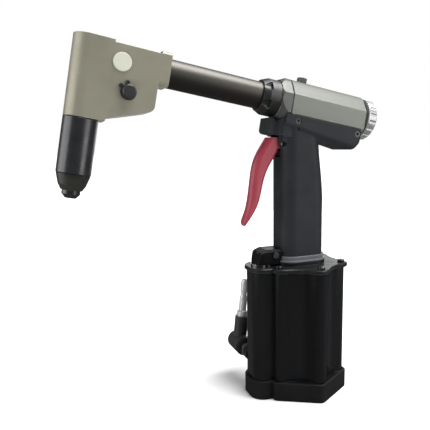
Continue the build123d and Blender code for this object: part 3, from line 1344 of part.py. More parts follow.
def clip_limits(side):
    """Inner and outer face of a retaining ring, as lateral places."""
    near = side * (HEAD_HALF + SEAT)
    far = side * (HEAD_HALF + SEAT + CLIP_THICKNESS)
    return sorted((near, far))


def fulcrum_pin():
    half = HEAD_HALF + FULCRUM_REACH
    pin = cross_bar(FULCRUM_RADIUS, -half, half, FULCRUM_X, -FULCRUM_DROP)
    pin = chamfer(pin.edges().filter_by(GeomType.CIRCLE), FULCRUM_EDGE)
    for side in (-1, 1):
        near, far = clip_limits(side)
        groove = cross_bar(FULCRUM_RADIUS, near - SEAT, far + SEAT, FULCRUM_X, -FULCRUM_DROP)
        floor = FULCRUM_RADIUS - CLIP_GROOVE_DEPTH
        pin -= groove - cross_bar(floor, near - SEAT, far + SEAT, FULCRUM_X, -FULCRUM_DROP)
    return BARREL * pin


def clip_face():
    """Open ring with two lugs, drawn as (x, z) about the pin."""
    inner = FULCRUM_RADIUS - CLIP_GROOVE_DEPTH + SEAT
    outer = inner + CLIP_WIDTH
    reach = outer + 2 * CLIP_LUG_RADIUS
    lug_at = outer + CLIP_LUG_RADIUS / 2
    spread = math.degrees(math.asin(CLIP_LUG_RADIUS / lug_at)) + CLIP_OPENING / 2
    face = Circle(outer)
    for side in (-1, 1):
        face += Rot(0, 0, side * spread) * Pos(lug_at, 0) * Circle(CLIP_LUG_RADIUS)
    for side in (-1, 1):
        face -= Rot(0, 0, side * spread) * Pos(lug_at, 0) * Circle(CLIP_LUG_HOLE)
    half_opening = reach * math.tan(math.radians(CLIP_OPENING / 2))
    face -= outline((0, 0), (reach, -half_opening), (reach, half_opening))
    return Rot(0, 0, CLIP_ANGLE) * (face - Circle(inner))


def fulcrum_clips():
    clips = []
    for side in (-1, 1):
        near, far = clip_limits(side)
        clip = plate(clip_face(), CLIP_THICKNESS / 2)
        clips.append(BARREL * Pos(FULCRUM_X, (near + far) / 2, -FULCRUM_DROP) * clip)
    return Compound(children=clips)


def crank_arm(length, angle):
    """Arm of the crank with its slotted eye, as (x, z) about the fulcrum."""
    arm = Pos(length / 2, 0) * Rectangle(length, CRANK_ARM_WIDTH) + Pos(length, 0) * Circle(CRANK_EYE)
    return Rot(0, 0, angle) * arm


def crank_slot(length, angle):
    """Slot along an arm of the crank, as (x, z) about the fulcrum."""
    play = LINK_PIN_RADIUS + SLOT_PLAY
    return Rot(0, 0, angle) * Pos(length, 0) * SlotCenterToCenter(2 * SLOT_TRAVEL, 2 * play)


def bell_crank():
    short = (FULCRUM_DROP + math.hypot(CRANK_LEAN, FULCRUM_DROP)) / 2
    fall = CASE_PIN_Z + FULCRUM_DROP
    long = (FULCRUM_BEHIND + math.hypot(FULCRUM_BEHIND, fall)) / 2
    short_angle = 90 - LEAN_ANGLE
    face = Circle(CRANK_HUB) + crank_arm(short, short_angle) + crank_arm(long, -LEAN_ANGLE)
    face -= crank_slot(short, short_angle) + crank_slot(long, -LEAN_ANGLE)
    face -= Circle(FULCRUM_RADIUS + RUN)
    return BARREL * Pos(FULCRUM_X, 0, -FULCRUM_DROP) * plate(face, CRANK_HALF)


def nose_sleeve():
    spigot = CASE_BORE + SLEEVE_SPIGOT_WALL
    socket = CASE_BORE + CONE_SPIGOT_WALL + SEAT
    return NOSE * turned(
        (CASE_BORE, SLEEVE_END + CONE_SPIGOT),
        (socket, SLEEVE_END + CONE_SPIGOT),
        (socket, SLEEVE_END),
        (SLEEVE_RADIUS - SLEEVE_EDGE, SLEEVE_END),
        (SLEEVE_RADIUS, SLEEVE_END + SLEEVE_EDGE),
        (SLEEVE_RADIUS, SLEEVE_TOP - SLEEVE_EDGE),
        (SLEEVE_RADIUS - SLEEVE_EDGE, SLEEVE_TOP),
        (spigot, SLEEVE_TOP),
        (spigot, SLEEVE_TOP + SLEEVE_SPIGOT),
        (CASE_BORE, SLEEVE_TOP + SLEEVE_SPIGOT),
    )


def nose_cone():
    floor = SLEEVE_END - CONE_CAVITY
    thread = TIP_THREAD_RADIUS + SEAT
    cone = turned(
        (thread, CONE_END),
        (CONE_END_RADIUS, CONE_END),
        (CONE_WAIST_RADIUS, SLEEVE_END - CONE_WAIST_DROP),
        (CONE_TOP_RADIUS, SLEEVE_END),
        (CASE_BORE + CONE_SPIGOT_WALL, SLEEVE_END),
        (CASE_BORE + CONE_SPIGOT_WALL, SLEEVE_END + CONE_SPIGOT),
        (CASE_BORE, SLEEVE_END + CONE_SPIGOT),
        (CASE_BORE, SLEEVE_END),
        (thread, floor),
    )
    for side in (-1, 1):
        across = sorted((side * CONE_FLAT_HALF, side * CONE_TOP_RADIUS))
        width = (-CONE_TOP_RADIUS, CONE_TOP_RADIUS)
        cone -= brick(width, across, (SLEEVE_END - CONE_FLAT_LENGTH, SLEEVE_END - SEAT))
    return NOSE * cone


def nosepiece():
    shank_top = SLEEVE_END - CONE_CAVITY
    tail_top = JAW_BOTTOM - GAP
    return NOSE * turned(
        (TIP_BORE, TIP_END),
        (TIP_END_RADIUS, TIP_END),
        (TIP_TOP_RADIUS, CONE_END - TIP_LENGTH / 2),
        (TIP_TOP_RADIUS, CONE_END),
        (TIP_THREAD_RADIUS, CONE_END),
        (TIP_THREAD_RADIUS, shank_top),
        (TAIL_RADIUS, shank_top),
        (TAIL_RADIUS, tail_top),
        (TIP_BORE, tail_top),
    )


def jaw_case():
    case = pillar(CASE_RADIUS, CASE_BOTTOM, CASE_TOP)
    case -= turned(
        (0, CASE_BOTTOM),
        (CASE_MOUTH, CASE_BOTTOM),
        (CASE_MOUTH, CASE_CONE_END),
        (CASE_INNER, CASE_CONE_TOP),
        (CASE_INNER, SPRING_ROOF),
        (0, SPRING_ROOF),
    )
    wide = (-CASE_RADIUS, CASE_RADIUS)
    case -= brick(wide, (-CRANK_SLOT_HALF, CRANK_SLOT_HALF), (CASE_SLOT_FLOOR, CASE_TOP))
    return NOSE * (case - cross_bar(LINK_PIN_RADIUS + SEAT, *wide, 0, CASE_PIN_Z))


def case_pin():
    half = math.sqrt(CASE_RADIUS**2 - LINK_PIN_RADIUS**2) - SEAT
    return NOSE * cross_bar(LINK_PIN_RADIUS, -half, half, 0, CASE_PIN_Z)


def jaw(index):
    """One third of the split cone that grips the rivet's stem."""
    slope = math.tan(math.radians(JAW_ANGLE))
    top_radius = CASE_INNER - JAW_SHIFT
    cone = turned(
        (0, JAW_BOTTOM),
        (top_radius - JAW_LENGTH * slope, JAW_BOTTOM),
        (top_radius, JAW_TOP),
        (0, JAW_TOP),
    )
    cone -= pillar(JAW_BORE, JAW_BOTTOM, JAW_TOP)
    reach = 2 * CASE_INNER
    half = math.radians(180 / JAWS)
    start = JAW_PLAY / 2 / math.sin(half)
    wedge = outline(
        (start, 0),
        (start + reach * math.cos(half), reach * math.sin(half)),
        (start + reach * math.cos(half), -reach * math.sin(half)),
    )
    return NOSE * Rot(0, 0, index * 360 / JAWS) * (cone & slab(wedge, JAW_BOTTOM, JAW_TOP))


def jaw_pusher():
    pusher = pillar(CASE_INNER - GAP, PUSHER_BOTTOM, PUSHER_FLANGE_TOP)
    pusher += pillar(PUSHER_GUIDE_RADIUS, PUSHER_FLANGE_TOP, PUSHER_FLANGE_TOP + PUSHER_GUIDE)
    return NOSE * (pusher - pillar(PUSHER_BORE, PUSHER_BOTTOM, PUSHER_FLANGE_TOP + PUSHER_GUIDE))


def jaw_spring():
    radius = CASE_INNER - GAP - JAW_SPRING_WIRE
    return NOSE * coil(radius, JAW_SPRING_WIRE, PUSHER_FLANGE_TOP, SPRING_ROOF, JAW_SPRING_TURNS)


def make_all():
    """Every piece under its own name."""
    makers = (
        base_boot, cylinder_floor, floor_screws, air_cylinder, cylinder_cover, flange_screws,
        air_piston, air_piston_seal, ram, piston_nut, ram_tube, ram_gland, ram_seal,
        valve_sleeve, valve_spool, spool_rings, valve_spring, inlet_stem, swivel_elbow, air_nipple,
        valve_cap_ring, valve_cap, rocker_pin, valve_rocker, valve_rod,
        trigger, trigger_pin, handle, saddle_screws,
        hydraulic_body, oil_plug, front_collar, rod_seal, coupling_nut, end_cap, end_cap_ring,
        hydraulic_piston, piston_seal, return_spring, pull_rod, rod_pin, extension_tube,
        head_housing, lever_cover, lever_cover_screws, access_plugs, fulcrum_pin, fulcrum_clips,
        bell_crank, nose_sleeve, nose_cone, nosepiece, jaw_case, case_pin, jaw_pusher, jaw_spring,
    )
    for maker in makers:
        PARTS[maker.__name__] = maker()
    for index in range(JAWS):
        PARTS[f"jaw_{index + 1}"] = jaw(index)


make_all()
os.makedirs("parts", exist_ok=True)
for name, shape in PARTS.items():
    export_step(TURN * shape, f"parts/{name}.step")
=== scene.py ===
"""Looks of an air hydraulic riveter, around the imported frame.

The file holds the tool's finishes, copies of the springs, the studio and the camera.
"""

import json
import logging
from dataclasses import dataclass, field
from enum import Enum
from math import radians

import bpy
from mathutils import Euler, Matrix, Vector

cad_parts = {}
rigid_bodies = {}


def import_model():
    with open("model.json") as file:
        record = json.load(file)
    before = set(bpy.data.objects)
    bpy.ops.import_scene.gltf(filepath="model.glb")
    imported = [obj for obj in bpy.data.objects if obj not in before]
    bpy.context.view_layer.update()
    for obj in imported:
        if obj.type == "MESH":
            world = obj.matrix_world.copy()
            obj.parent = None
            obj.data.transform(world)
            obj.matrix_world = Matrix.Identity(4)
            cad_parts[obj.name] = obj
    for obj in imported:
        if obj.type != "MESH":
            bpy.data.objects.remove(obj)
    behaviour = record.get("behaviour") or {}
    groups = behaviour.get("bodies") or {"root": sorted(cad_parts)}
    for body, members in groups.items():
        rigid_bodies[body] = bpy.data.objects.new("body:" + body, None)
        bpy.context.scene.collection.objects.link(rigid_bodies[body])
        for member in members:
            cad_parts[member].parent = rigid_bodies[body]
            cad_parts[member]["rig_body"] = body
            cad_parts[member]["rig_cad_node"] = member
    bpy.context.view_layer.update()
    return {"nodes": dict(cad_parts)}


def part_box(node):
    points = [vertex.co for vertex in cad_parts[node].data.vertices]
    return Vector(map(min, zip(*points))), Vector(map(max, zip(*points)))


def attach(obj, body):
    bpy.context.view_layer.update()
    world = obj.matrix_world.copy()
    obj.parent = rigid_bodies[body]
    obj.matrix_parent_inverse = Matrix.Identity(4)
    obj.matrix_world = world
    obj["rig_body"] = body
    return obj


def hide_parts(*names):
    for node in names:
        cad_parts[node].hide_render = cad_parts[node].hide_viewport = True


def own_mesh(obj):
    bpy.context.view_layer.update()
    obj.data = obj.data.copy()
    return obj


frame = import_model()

# The barrel's slope in degrees, and where the paler band painted on the cover as a highlight
# lies, in metres
BARREL_TILT = 10.3
COVER_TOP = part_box("cylinder_cover")[1][2]
COLLAR_RISE = 0.0055
PAINTED_BAND_BLEND = 0.0004

# Screen colour to linear light
SCREEN_WHITE = 255.0
TOE_END = 0.04045
TOE_SLOPE = 12.92
CURVE_LIFT = 0.055
CURVE_POWER = 2.4

# Patterns: stretch along each axis, finer layers, and the range of a noise that counts
UNIT = (0.0, 1.0)
EVEN = (1.0, 1.0, 1.0)
STREAKED = (1.0, 1.0, 0.02)
CLOUD_DETAIL = 5.0
CLOUD_RANGE = (0.32, 0.68)
SMUDGE_RATIO = 3.1
SMUDGE_DETAIL = 6.0
SMUDGE_RANGE = (0.3, 0.7)
EDGE_PATCH_SCALE = 210.0
EDGE_PATCH_DETAIL = 6.0
EDGE_PATCH_RANGE = (0.42, 0.62)

# Edges: how alike the true and the rounded normal are where the lighter edge colour (wear, and
# on the grey body a painted highlight) starts and where it is full
EDGE_RANGE = (0.995, 0.86)
BEVEL_SAMPLES = 6

Shade = tuple[int, int, int]
Light = tuple[float, float, float, float]
Span = tuple[float, float]
Triple = tuple[float, float, float]
Socket = bpy.types.NodeSocket

log = logging.getLogger("riveter")


class Grain(Enum):
    """How a surface was made: the stretch of its fine bump, and the bump's finer layers."""

    CAST = ((1.0, 1.0, 1.0), 8.0)
    MOULDED = ((1.0, 1.0, 1.0), 4.0)
    DRAWN = ((1.0, 1.0, 0.004), 4.0)
    TURNED = ((0.004, 0.004, 1.0), 4.0)
    POLISHED = ((1.0, 1.0, 1.0), 2.0)


class Lay(Enum):
    """The line that a drawn or turned pattern follows, as a turn in degrees."""

    UPRIGHT = (0.0, 0.0, 0.0)
    BARREL = (0.0, 90.0 + BARREL_TILT, 0.0)
    NOSE = (0.0, BARREL_TILT, 0.0)
    CROSS = (90.0, 0.0, 0.0)

    def turn(self) -> list[float]:
        """The turn about each axis, in radians."""
        return [radians(angle) for angle in self.value]

    def line(self) -> Vector:
        """The direction that the pattern's own upright axis points in."""
        return Euler(self.turn()).to_matrix() @ Vector((0.0, 0.0, 1.0))


def linear(red: int, green: int, blue: int) -> Light:
    """Turns a screen colour of 0 to 255 into linear light with full alpha.

    Args:
        red: the screen's red.
        green: the screen's green.
        blue: the screen's blue.

    Returns:
        The colour as a shader takes it.
    """
    parts = []
    for step in (red, green, blue):
        share = step / SCREEN_WHITE
        curve = ((share + CURVE_LIFT) / (1.0 + CURVE_LIFT)) ** CURVE_POWER
        parts.append(share / TOE_SLOPE if share <= TOE_END else curve)
    return (parts[0], parts[1], parts[2], 1.0)


class NodeBench:
    """One material's node tree, with short calls that add and join its nodes."""

    def __init__(self, name: str) -> None:
        """Starts an empty material with a principled surface.

        Args:
            name: the material's name.
        """
        self.material = bpy.data.materials.new(name)
        self.material.use_nodes = True
        self.nodes = self.material.node_tree.nodes
        self.links = self.material.node_tree.links
        self.shader = self.nodes["Principled BSDF"]

    def add(self, kind: str, **settings: object) -> bpy.types.Node:
        """Adds a node and sets its plain properties.

        Args:
            kind: the node's type name.
            settings: properties to set on it.

        Returns:
            The new node.
        """
        node = self.nodes.new(kind)
        for key, value in settings.items():
            setattr(node, key, value)
        return node

    def join(self, source: Socket, target: Socket) -> None:
        """Links one socket to another."""
        self.links.new(source, target)

    def place(self, lay: Lay, stretch: Triple) -> Socket:
        """Object coordinates, turned to a line of the tool and stretched.

        Args:
            lay: the line that becomes the pattern's own upright.
            stretch: scale along each axis after the turn.

        Returns:
            The vector socket.
        """
        source = self.add("ShaderNodeTexCoord")
        turned = self.add("ShaderNodeMapping", vector_type="TEXTURE")
        turned.inputs["Rotation"].default_value = lay.turn()
        self.join(source.outputs["Object"], turned.inputs["Vector"])
        scaled = self.add("ShaderNodeMapping", vector_type="POINT")
        scaled.inputs["Scale"].default_value = stretch
        self.join(turned.outputs["Vector"], scaled.inputs["Vector"])
        return scaled.outputs["Vector"]

    def height(self) -> Socket:
        """How far above the floor a point lies.

        Returns:
            The height's socket, in metres.
        """
        source = self.add("ShaderNodeTexCoord")
        parts = self.add("ShaderNodeSeparateXYZ")
        self.join(source.outputs["Object"], parts.inputs["Vector"])
        return parts.outputs["Z"]

    def noise(self, vector: Socket, scale: float, detail: float) -> Socket:
        """A cloudy value between nought and one.

        Args:
            vector: where the pattern is read.
            scale: cells to the metre.
            detail: number of finer layers.

        Returns:
            The value socket.
        """
        node = self.add("ShaderNodeTexNoise")
        node.inputs["Scale"].default_value = scale
        node.inputs["Detail"].default_value = detail
        self.join(vector, node.inputs["Vector"])
        return node.outputs["Fac"]

    def span(self, value: Socket, source: Span, target: Span) -> Socket:
        """Maps a value from one range to another, held at its ends.

        Args:
            value: the socket to map.
            source: where the value starts and ends.
            target: what those become.

        Returns:
            The mapped socket.
        """
        node = self.add("ShaderNodeMapRange")
        for name, number in zip(("From Min", "From Max", "To Min", "To Max"), source + target):
            node.inputs[name].default_value = number
        self.join(value, node.inputs["Value"])
        return node.outputs["Result"]

    def product(self, first: Socket, second: Socket) -> Socket:
        """Multiplies two values.

        Args:
            first: one value.
            second: the other value.

        Returns:
            The product's socket.
        """
        node = self.add("ShaderNodeMath", operation="MULTIPLY")
        self.join(first, node.inputs[0])
        self.join(second, node.inputs[1])
        return node.outputs["Value"]

    def blend(self, factor: Socket, base: Socket | Light, over: Light) -> Socket:
        """Mixes a colour over another by a value.

        Args:
            factor: share of the upper colour.
            base: lower colour, a socket or a constant.
            over: upper colour.

        Returns:
            The mixed colour's socket.
        """
        node = self.add("ShaderNodeMix", data_type="RGBA")
        colours = [socket for socket in node.inputs if socket.type == "RGBA"]
        self.join(factor, node.inputs[0])
        if isinstance(base, tuple):
            colours[0].default_value = base
        else:
            self.join(base, colours[0])
        colours[1].default_value = over
        return next(socket for socket in node.outputs if socket.type == "RGBA")

    def soft_normal(self, width: float) -> Socket:
        """The surface's normal with its sharp edges rounded off.

        Args:
            width: radius of the rounding, in metres.

        Returns:
            The normal's socket.
        """
        rounded = self.add("ShaderNodeBevel", samples=BEVEL_SAMPLES)
        rounded.inputs["Radius"].default_value = width
        return rounded.outputs["Normal"]

    def edge_mask(self, width: float) -> Socket:
        """One along sharp edges and nought on open faces.

        Args:
            width: reach of the mask from an edge, in metres.

        Returns:
            The mask's socket.
        """
        surface = self.add("ShaderNodeNewGeometry")
        likeness = self.add("ShaderNodeVectorMath", operation="DOT_PRODUCT")
        self.join(self.soft_normal(width), likeness.inputs[0])
        self.join(surface.outputs["Normal"], likeness.inputs[1])
        return self.span(likeness.outputs["Value"], EDGE_RANGE, UNIT)


@dataclass(frozen=True)
class Finish:
    """A procedural finish: two shades, a grain, a swing of roughness, a lighter colour along
    edges (wear, and on the grey body also a painted highlight), and a paler band painted as a
    highlight.
    """

    name: str
    shade: Shade
    drift: Shade
    roughness: float
    metallic: float = 0.0
    specular: float = 0.5
    grain: Grain = Grain.MOULDED
    lay: Lay = Lay.UPRIGHT
    cloud_scale: float = 38.0
    grain_scale: float = 1400.0
    grain_depth: float = 0.00003
    swing: float = 0.06
    edge: float = 0.0004
    wear: Shade | None = None
    wear_width: float = 0.0006
    wear_share: float = 0.5
    # a paler band painted above a height, as a painted highlight
    ring: Shade | None = None
    ring_foot: float = 0.0

    def build(self) -> bpy.types.Material:
        """Makes the material.

        Returns:
            The finished material.
        """
        bench = NodeBench(self.name)
        shader = bench.shader
        shader.inputs["Metallic"].default_value = self.metallic
        shader.inputs["Specular IOR Level"].default_value = self.specular
        plain = bench.place(Lay.UPRIGHT, EVEN)
        flow = bench.place(self.lay, STREAKED) if self.grain is Grain.DRAWN else plain
        bench.join(self.colour(bench, plain, flow), shader.inputs["Base Color"])
        smudge = bench.noise(flow, self.cloud_scale * SMUDGE_RATIO, SMUDGE_DETAIL)
        swings = (self.roughness - self.swing, self.roughness + self.swing)
        bench.join(bench.span(smudge, SMUDGE_RANGE, swings), shader.inputs["Roughness"])
        bump = bench.add("ShaderNodeBump")
        bump.inputs["Distance"].default_value = self.grain_depth
        bump.inputs["Strength"].default_value = 1.0
        bench.join(self.grain_height(bench), bump.inputs["Height"])
        bench.join(bench.soft_normal(self.edge), bump.inputs["Normal"])
        bench.join(bump.outputs["Normal"], shader.inputs["Normal"])
        return bench.material

    def colour(self, bench: NodeBench, plain: Socket, flow: Socket) -> Socket:
        """The drifting colour, with the lighter edge colour that the finish has (wear, and on
        the grey body also a painted edge highlight) and its paler band painted above a height
        as a highlight.

        Args:
            bench: the material being made.
            plain: coordinates as they are.
            flow: coordinates that follow the grain.

        Returns:
            The colour's socket.
        """
        cloud = bench.noise(flow, self.cloud_scale, CLOUD_DETAIL)
        share = bench.span(cloud, CLOUD_RANGE, UNIT)
        colour = bench.blend(share, linear(*self.shade), linear(*self.drift))
        # Lighter colour on sharp edges in random patches: wear, and on the grey body also a
        # painted highlight for its bright edge lines.
        if self.wear:
            patches = bench.noise(plain, EDGE_PATCH_SCALE, EDGE_PATCH_DETAIL)
            edge_patch_share = bench.span(patches, EDGE_PATCH_RANGE, (0.0, self.wear_share))
            worn_and_lit = bench.product(bench.edge_mask(self.wear_width), edge_patch_share)
            colour = bench.blend(worn_and_lit, colour, linear(*self.wear))
        # A paler band painted above a height: a painted highlight standing in for light on the
        # cover's bead.
        if self.ring:
            foot = (self.ring_foot, self.ring_foot + PAINTED_BAND_BLEND)
            above = bench.span(bench.height(), foot, UNIT)
            colour = bench.blend(above, colour, linear(*self.ring))
        return colour

    def grain_height(self, bench: NodeBench) -> Socket:
        """The fine relief of the surface, by how it was made."""
        stretch, detail = self.grain.value
        return bench.noise(bench.place(self.lay, stretch), self.grain_scale, detail)


@dataclass(frozen=True)
class Finishes:
    """Every finish on the tool."""

    boot_rubber: Finish = Finish(
        "boot_rubber", (18, 18, 18), (24, 24, 23), 0.6, specular=0.15,
        grain=Grain.MOULDED, grain_scale=900.0, grain_depth=0.00006,
        wear=(60, 60, 58), wear_width=0.001, wear_share=0.3,
    )
    black_anodised: Finish = Finish(
        "black_anodised", (10, 10, 11), (24, 25, 27), 0.22, specular=0.28,
        grain=Grain.DRAWN, grain_scale=1500.0, grain_depth=0.000003,
        wear=(60, 60, 62), wear_width=0.0005, wear_share=0.3,
    )
    black_flange: Finish = Finish(
        "black_flange", (24, 25, 26), (31, 32, 33), 0.32, specular=0.16,
        grain=Grain.CAST, grain_scale=1500.0, grain_depth=0.00001,
        wear=(120, 120, 120), wear_width=0.0008, wear_share=0.4,
        # the paler band on the cover's collar is a painted highlight where the bead catches
        # light
        ring=(94, 96, 100), ring_foot=COVER_TOP - COLLAR_RISE,
    )
    handle_plastic: Finish = Finish(
        "handle_plastic", (31, 34, 37), (37, 40, 43), 0.5, specular=0.2,
        grain=Grain.MOULDED, grain_scale=2200.0, grain_depth=0.00003,
        wear=(72, 74, 78), wear_width=0.0012, wear_share=0.35,
    )
    trigger_red: Finish = Finish(
        "trigger_red", (137, 45, 59), (150, 56, 69), 0.34,
        grain=Grain.MOULDED, grain_scale=1700.0, grain_depth=0.00002,
        wear=(196, 104, 112), wear_width=0.001, wear_share=0.3,
    )
    grey_body: Finish = Finish(
        "grey_body", (109, 111, 105), (118, 120, 114), 0.46, metallic=0.25, specular=0.35,
        grain=Grain.DRAWN, lay=Lay.BARREL, grain_scale=1500.0, grain_depth=0.00001,
        # its light edge colour is partly wear and partly a painted highlight on the edges
        # between the facets
        wear=(214, 215, 208), wear_width=0.0008,
    )
    grey_head: Finish = Finish(
        "grey_head", (140, 137, 121), (148, 145, 129), 0.42, metallic=0.45,
        grain=Grain.CAST, grain_scale=1700.0, grain_depth=0.00004,
        wear=(208, 206, 192), wear_width=0.0008,
    )
    black_steel: Finish = Finish(
        "black_steel", (20, 21, 24), (29, 30, 34), 0.3, specular=0.9,
        grain=Grain.TURNED, lay=Lay.NOSE, grain_scale=1800.0, grain_depth=0.00001,
        wear=(128, 128, 130), wear_width=0.0005, wear_share=0.4,
    )
    dark_cone: Finish = Finish(
        "dark_cone", (48, 48, 43), (60, 60, 54), 0.38, metallic=0.5,
        grain=Grain.TURNED, lay=Lay.NOSE, grain_scale=2600.0, grain_depth=0.00002,
        wear=(128, 126, 116), wear_width=0.0005,
    )
    bright_aluminium: Finish = Finish(
        "bright_aluminium", (174, 175, 174), (186, 187, 186), 0.36, metallic=0.75,
        grain=Grain.TURNED, lay=Lay.BARREL, grain_scale=2600.0, grain_depth=0.000005,
    )
    bare_steel: Finish = Finish(
        "bare_steel", (150, 150, 150), (172, 172, 172), 0.28, metallic=1.0,
        grain=Grain.TURNED, lay=Lay.NOSE, grain_scale=2400.0, grain_depth=0.00001,
    )
    chrome_plate: Finish = Finish(
        "chrome_plate", (160, 161, 164), (178, 179, 182), 0.18, metallic=1.0,
        grain=Grain.POLISHED, grain_scale=600.0, grain_depth=0.000006, swing=0.04,
    )
    cream_plug: Finish = Finish(
        "cream_plug", (180, 182, 165), (188, 190, 173), 0.42,
        grain=Grain.MOULDED, grain_scale=1500.0, grain_depth=0.00002,
    )
    seal_rubber: Finish = Finish(
        "seal_rubber", (20, 20, 20), (28, 28, 28), 0.55, specular=0.25,
        grain=Grain.MOULDED, grain_scale=1200.0,
    )
    bearing_brass: Finish = Finish(
        "bearing_brass", (176, 138, 74), (192, 156, 92), 0.3, metallic=1.0,
        grain=Grain.TURNED, grain_scale=2400.0, grain_depth=0.00001,
    )
    black_plastic: Finish = Finish(
        "black_plastic", (10, 10, 11), (16, 16, 17), 0.42, specular=0.1,
        grain=Grain.MOULDED, grain_scale=1900.0, grain_depth=0.00002,
        wear=(56, 56, 58), wear_width=0.0008, wear_share=0.4,
    )
    zinc_plate: Finish = Finish(
        "zinc_plate", (172, 173, 172), (204, 205, 204), 0.34, metallic=0.45,
        grain=Grain.TURNED, grain_scale=1600.0, grain_depth=0.00003,
        wear=(230, 230, 228), wear_width=0.0004,
    )
    elbow_plastic: Finish = Finish(
        "elbow_plastic", (40, 41, 41), (47, 48, 48), 0.45, specular=0.35,
        grain=Grain.MOULDED, grain_scale=1400.0, grain_depth=0.00002,
        wear=(90, 90, 92), wear_width=0.0006, wear_share=0.3,
    )
    tube_aluminium: Finish = Finish(
        "tube_aluminium", (90, 88, 84), (100, 98, 93), 0.46, metallic=1.0,
        grain=Grain.DRAWN, lay=Lay.BARREL, grain_scale=1600.0, grain_depth=0.000002, swing=0.03,
    )
    screw_steel: Finish = Finish(
        "screw_steel", (60, 60, 62), (74, 74, 76), 0.22, metallic=0.9,
        grain=Grain.TURNED, grain_scale=2200.0, grain_depth=0.00001,
        wear=(170, 170, 172), wear_width=0.0004,
    )
    pin_steel: Finish = Finish(
        "pin_steel", (38, 38, 39), (47, 47, 48), 0.36,
        grain=Grain.TURNED, lay=Lay.CROSS, grain_scale=2200.0, grain_depth=0.00001,
        wear=(120, 120, 122), wear_width=0.0005, wear_share=0.4,
    )
    nut_steel: Finish = Finish(
        "nut_steel", (14, 14, 15), (22, 22, 23), 0.44, specular=1.0,
        grain=Grain.TURNED, lay=Lay.BARREL, grain_scale=1800.0, grain_depth=0.00001,
        wear=(140, 140, 142), wear_width=0.0005, wear_share=0.45,
    )
    polished_collar: Finish = Finish(
        "polished_collar", (96, 97, 94), (106, 107, 104), 0.42, metallic=0.7,
        grain=Grain.TURNED, lay=Lay.BARREL, grain_scale=2200.0, grain_depth=0.00001,
        wear=(224, 222, 214), wear_width=0.0006,
    )


FINISHES = Finishes()


@dataclass
class Assembly:
    """A group of the tool's nodes with the finish that each wears."""

    title: str
    wears: dict[str, tuple[str, ...]] = field(default_factory=dict)

    def build(self, shelf: dict[str, bpy.types.Material]) -> None:
        """Dresses every node of the group.

        Args:
            shelf: the materials by name.
        """
        for finish, nodes in self.wears.items():
            for node in nodes:
                self.dress(frame["nodes"][node], shelf[finish])

    def dress(self, piece: bpy.types.Object, material: bpy.types.Material) -> None:
        """Gives one piece its only material.

        Args:
            piece: the object to dress.
            material: what it wears.
        """
        piece.data.materials.clear()
        piece.data.materials.append(material)
        log.info("%s: %s in %s", self.title, piece.name, material.name)


@dataclass
class AirBase(Assembly):
    """Air cylinder with its boot, cover and piston."""

    title: str = "air base"
    wears: dict[str, tuple[str, ...]] = field(
        default_factory=lambda: {
            "boot_rubber": ("base_boot",),
            "black_anodised": ("air_cylinder",),
            "black_flange": ("cylinder_cover",),
            "screw_steel": ("flange_screws",),
            "bright_aluminium": ("cylinder_floor", "air_piston"),
            "bare_steel": ("floor_screws", "ram", "piston_nut"),
            "seal_rubber": ("air_piston_seal", "ram_seal"),
            "bearing_brass": ("ram_gland",),
        }
    )


@dataclass
class AirValve(Assembly):
    """Valve in the front lobe, its cap and what presses it."""

    title: str = "air valve"
    wears: dict[str, tuple[str, ...]] = field(
        default_factory=lambda: {
            "black_plastic": ("valve_cap",),
            "chrome_plate": ("valve_cap_ring",),
            "black_steel": ("rocker_pin",),
            "bare_steel": ("valve_rocker", "valve_rod", "valve_spring"),
            "bearing_brass": ("valve_sleeve", "valve_spool"),
            "seal_rubber": ("spool_rings",),
        }
    )


@dataclass
class AirInlet(Assembly):
    """Swivelling elbow with its plug."""

    title: str = "air inlet"
    wears: dict[str, tuple[str, ...]] = field(
        default_factory=lambda: {
            "chrome_plate": ("inlet_stem",),
            "zinc_plate": ("air_nipple",),
            "elbow_plastic": ("swivel_elbow",),
        }
    )


@dataclass
class Grip(Assembly):
    """Moulded handle and its trigger."""

    title: str = "grip"
    wears: dict[str, tuple[str, ...]] = field(
        default_factory=lambda: {
            "handle_plastic": ("handle",),
            "screw_steel": ("saddle_screws",),
            "trigger_red": ("trigger",),
            "bare_steel": ("trigger_pin", "ram_tube"),
        }
    )


@dataclass
class Barrel(Assembly):
    """Hydraulic body, what works in it, and the extension tube."""

    title: str = "barrel"
    wears: dict[str, tuple[str, ...]] = field(
        default_factory=lambda: {
            "grey_body": ("hydraulic_body",),
            "polished_collar": ("front_collar",),
            "nut_steel": ("oil_plug", "coupling_nut"),
            "bright_aluminium": ("end_cap",),
            "tube_aluminium": ("extension_tube",),
            "bare_steel": ("hydraulic_piston", "return_spring", "pull_rod", "rod_pin"),
            "seal_rubber": ("rod_seal", "end_cap_ring", "piston_seal"),
        }
    )


@dataclass
class RightAngleHead(Assembly):
    """Head housing with its crank, and the nose that grips the rivet."""

    title: str = "right-angle head"
    wears: dict[str, tuple[str, ...]] = field(
        default_factory=lambda: {
            "grey_head": ("head_housing", "lever_cover"),
            "black_steel": ("lever_cover_screws", "nose_sleeve", "nosepiece"),
            "pin_steel": ("fulcrum_pin", "fulcrum_clips"),
            "cream_plug": ("access_plugs",),
            "dark_cone": ("nose_cone",),
            "bare_steel": (
                "bell_crank", "jaw_case", "case_pin", "jaw_pusher", "jaw_spring",
                "jaw_1", "jaw_2", "jaw_3",
            ),
        }
    )


